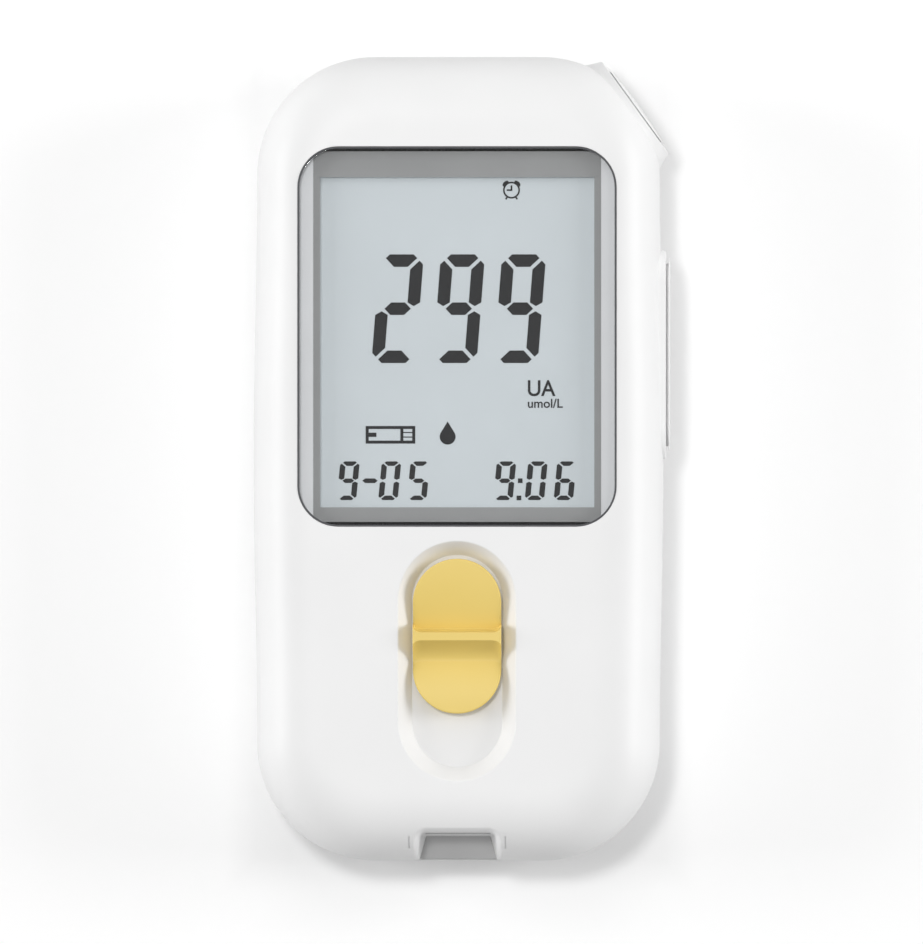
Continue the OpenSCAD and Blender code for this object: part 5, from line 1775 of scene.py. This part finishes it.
@dataclass(frozen=True)
class Lamp:
    """Square lamp aimed at the object.

    place and size are in metres. share is the radiance that it gives to a matt white surface
    that faces it: a lamp of power P at distance d gives P / (pi^2 d^2).
    """

    name: str
    place: Place
    size: float
    share: float

    def build(self) -> None:
        """Puts the lamp into the scene, with P = share pi^2 d^2."""
        light = bpy.data.lights.new(self.name, "AREA")
        light.size = self.size
        light.energy = self.share * math.pi**2 * sum(c * c for c in self.place)
        lamp = add_object(self.name, light)
        lamp.location = self.place
        lamp.rotation_euler = (-Vector(self.place)).to_track_quat("-Z", "Y").to_euler()


@dataclass
class Stage:
    """Pale floor, soft lamps and the camera."""

    form: CaseForm
    target: Place = (0.38, -1.68, 10.0)
    field_mm: float = 117.2
    distance: float = 2.5
    lean: float = 1.1
    sensor: float = 36.0
    world: float = 0.41
    floor_half: float = 3.0
    # glow of the floor at the case's edge and far from it; the low end paints shade on the floor
    # beside the case
    glow: Pair = (0.0, 0.065)
    painted_shade_reach: float = 4.0
    lamps: tuple[Lamp, ...] = (
        Lamp("key", (-0.14, 0.17, 1.0), 0.13, 0.245),
        Lamp("left", (-0.85, 0.10, 0.31), 0.40, 0.42),
        Lamp("right", (0.85, 0.10, 0.31), 0.40, 0.48),
        Lamp("head", (0.0, 0.85, 0.31), 0.50, 0.05),
        Lamp("upper", (0.0, 0.55, 0.80), 0.40, 0.06),
    )

    def build(self) -> None:
        """Builds floor, world, lamps and camera."""
        self.build_floor()
        self.build_world()
        for lamp in self.lamps:
            lamp.build()
        self.build_camera()

    def build_floor(self) -> None:
        """Large flat floor that the camera sees as white away from the object's shadow.

        Its glow fades out right beside the case, which paints shade on the floor there.
        """
        s = self.floor_half
        mesh = bpy.data.meshes.new("floor")
        mesh.from_pydata([(-s, -s, 0), (s, -s, 0), (s, s, 0), (-s, s, 0)], [], [(0, 1, 2, 3)])
        w = Wiring(bpy.data.materials.new("pale_floor"))
        tone = w.tones(w.mottle(30.0), [(0.3, (0.80, 0.80, 0.80)), (0.7, (0.82, 0.82, 0.82))])
        bright = w.add("BsdfDiffuse", (0.98, 0.98, 0.98, 1))
        seen = w.add("AddShader", bright, self.floor_glow_and_painted_shade(w))
        mix = w.add("MixShader", w.add("LightPath"), w.add("BsdfDiffuse", tone), seen)
        mesh.materials.append(w.finish(mix))
        add_object("floor", mesh)

    def floor_glow_and_painted_shade(self, w: Wiring) -> Node:
        """Faint glow of the floor, which fades out beside the case and so paints shade there.

        It grows with the distance d from the case's rectangle, up to its full strength, with
        d = max(|x| - half_w, |y| - half_l). Where it is weak the floor is darker: painted
        shade round the case.

        Args:
            w: wiring of the floor's material.

        Returns:
            The glow's shader.
        """
        axes = w.add("SeparateXYZ", w.place())
        past = [
            w.add("Math", w.add("Math", axes.outputs[axis], operation="ABSOLUTE"), half * MM,
                  operation="SUBTRACT")
            for axis, half in (("X", self.form.half_w), ("Y", self.form.half_l))
        ]
        low, high = self.glow
        away = w.add("Math", *past, operation="MAXIMUM")
        # no glow at the case's edge and full glow past the reach: painted shade on the floor round
        # the case
        grow = w.add("MapRange", away, From_Max=self.painted_shade_reach * MM, To_Min=low, To_Max=high)
        return w.add("Emission", (1, 1, 1, 1), grow)

    def build_world(self) -> None:
        """Even pale surroundings; the camera sees them as white."""
        world = bpy.data.worlds.new("studio")
        bpy.context.scene.world = world
        w = Wiring(world)
        dim = w.add("Background", (1, 1, 1, 1), self.world)
        white = w.add("Background", (1, 1, 1, 1))
        w.finish(w.add("MixShader", w.add("LightPath"), dim, white), "OutputWorld")

    def build_camera(self) -> None:
        """Long lens straight above the object, with the case's length upright."""
        data = bpy.data.cameras.new("camera")
        data.sensor_width = self.sensor
        data.sensor_fit = "HORIZONTAL"
        data.lens = self.sensor * self.distance / (self.field_mm * MM)
        data.clip_end = 50.0
        camera = add_object("camera", data)
        x, y, z = (c * MM for c in self.target)
        away, lean = self.distance, math.radians(self.lean)
        camera.location = (x + away * math.sin(lean), y, z + away * math.cos(lean))
        camera.rotation_euler = (0.0, lean, 0.0)
        bpy.context.scene.camera = camera
        bpy.context.scene.view_settings.view_transform = "Standard"


def main() -> None:
    """Builds the stage, dresses the solids and builds every piece in order."""
    logging.basicConfig(level=logging.INFO, format="%(name)s: %(message)s")
    form = CaseForm()
    Stage(form).build()
    palette = Palette()
    slots = {s["node"]: s["material_slot"] for s in frame["record"]["subparts"]}
    palette.dress_solids(frame["nodes"], slots)
    corner_key, side_key, recess = CornerKey(form), SideKey(form), Recess(form)
    door = BatteryDoor(form)
    parts = (
        FrontCover(form, corner_key, side_key, recess, StripNotch(form)),
        RearCover(form, corner_key, side_key, door),
        corner_key, side_key, SliderKnob(recess), door,
        ClearWindow(), DarkMarks(), UnitSigns(), Springs(recess.travel),
    )
    for part in parts:
        part.build(palette)
        LOG.info("%s is built", type(part).__name__)


if __name__ == "__main__":
    main()
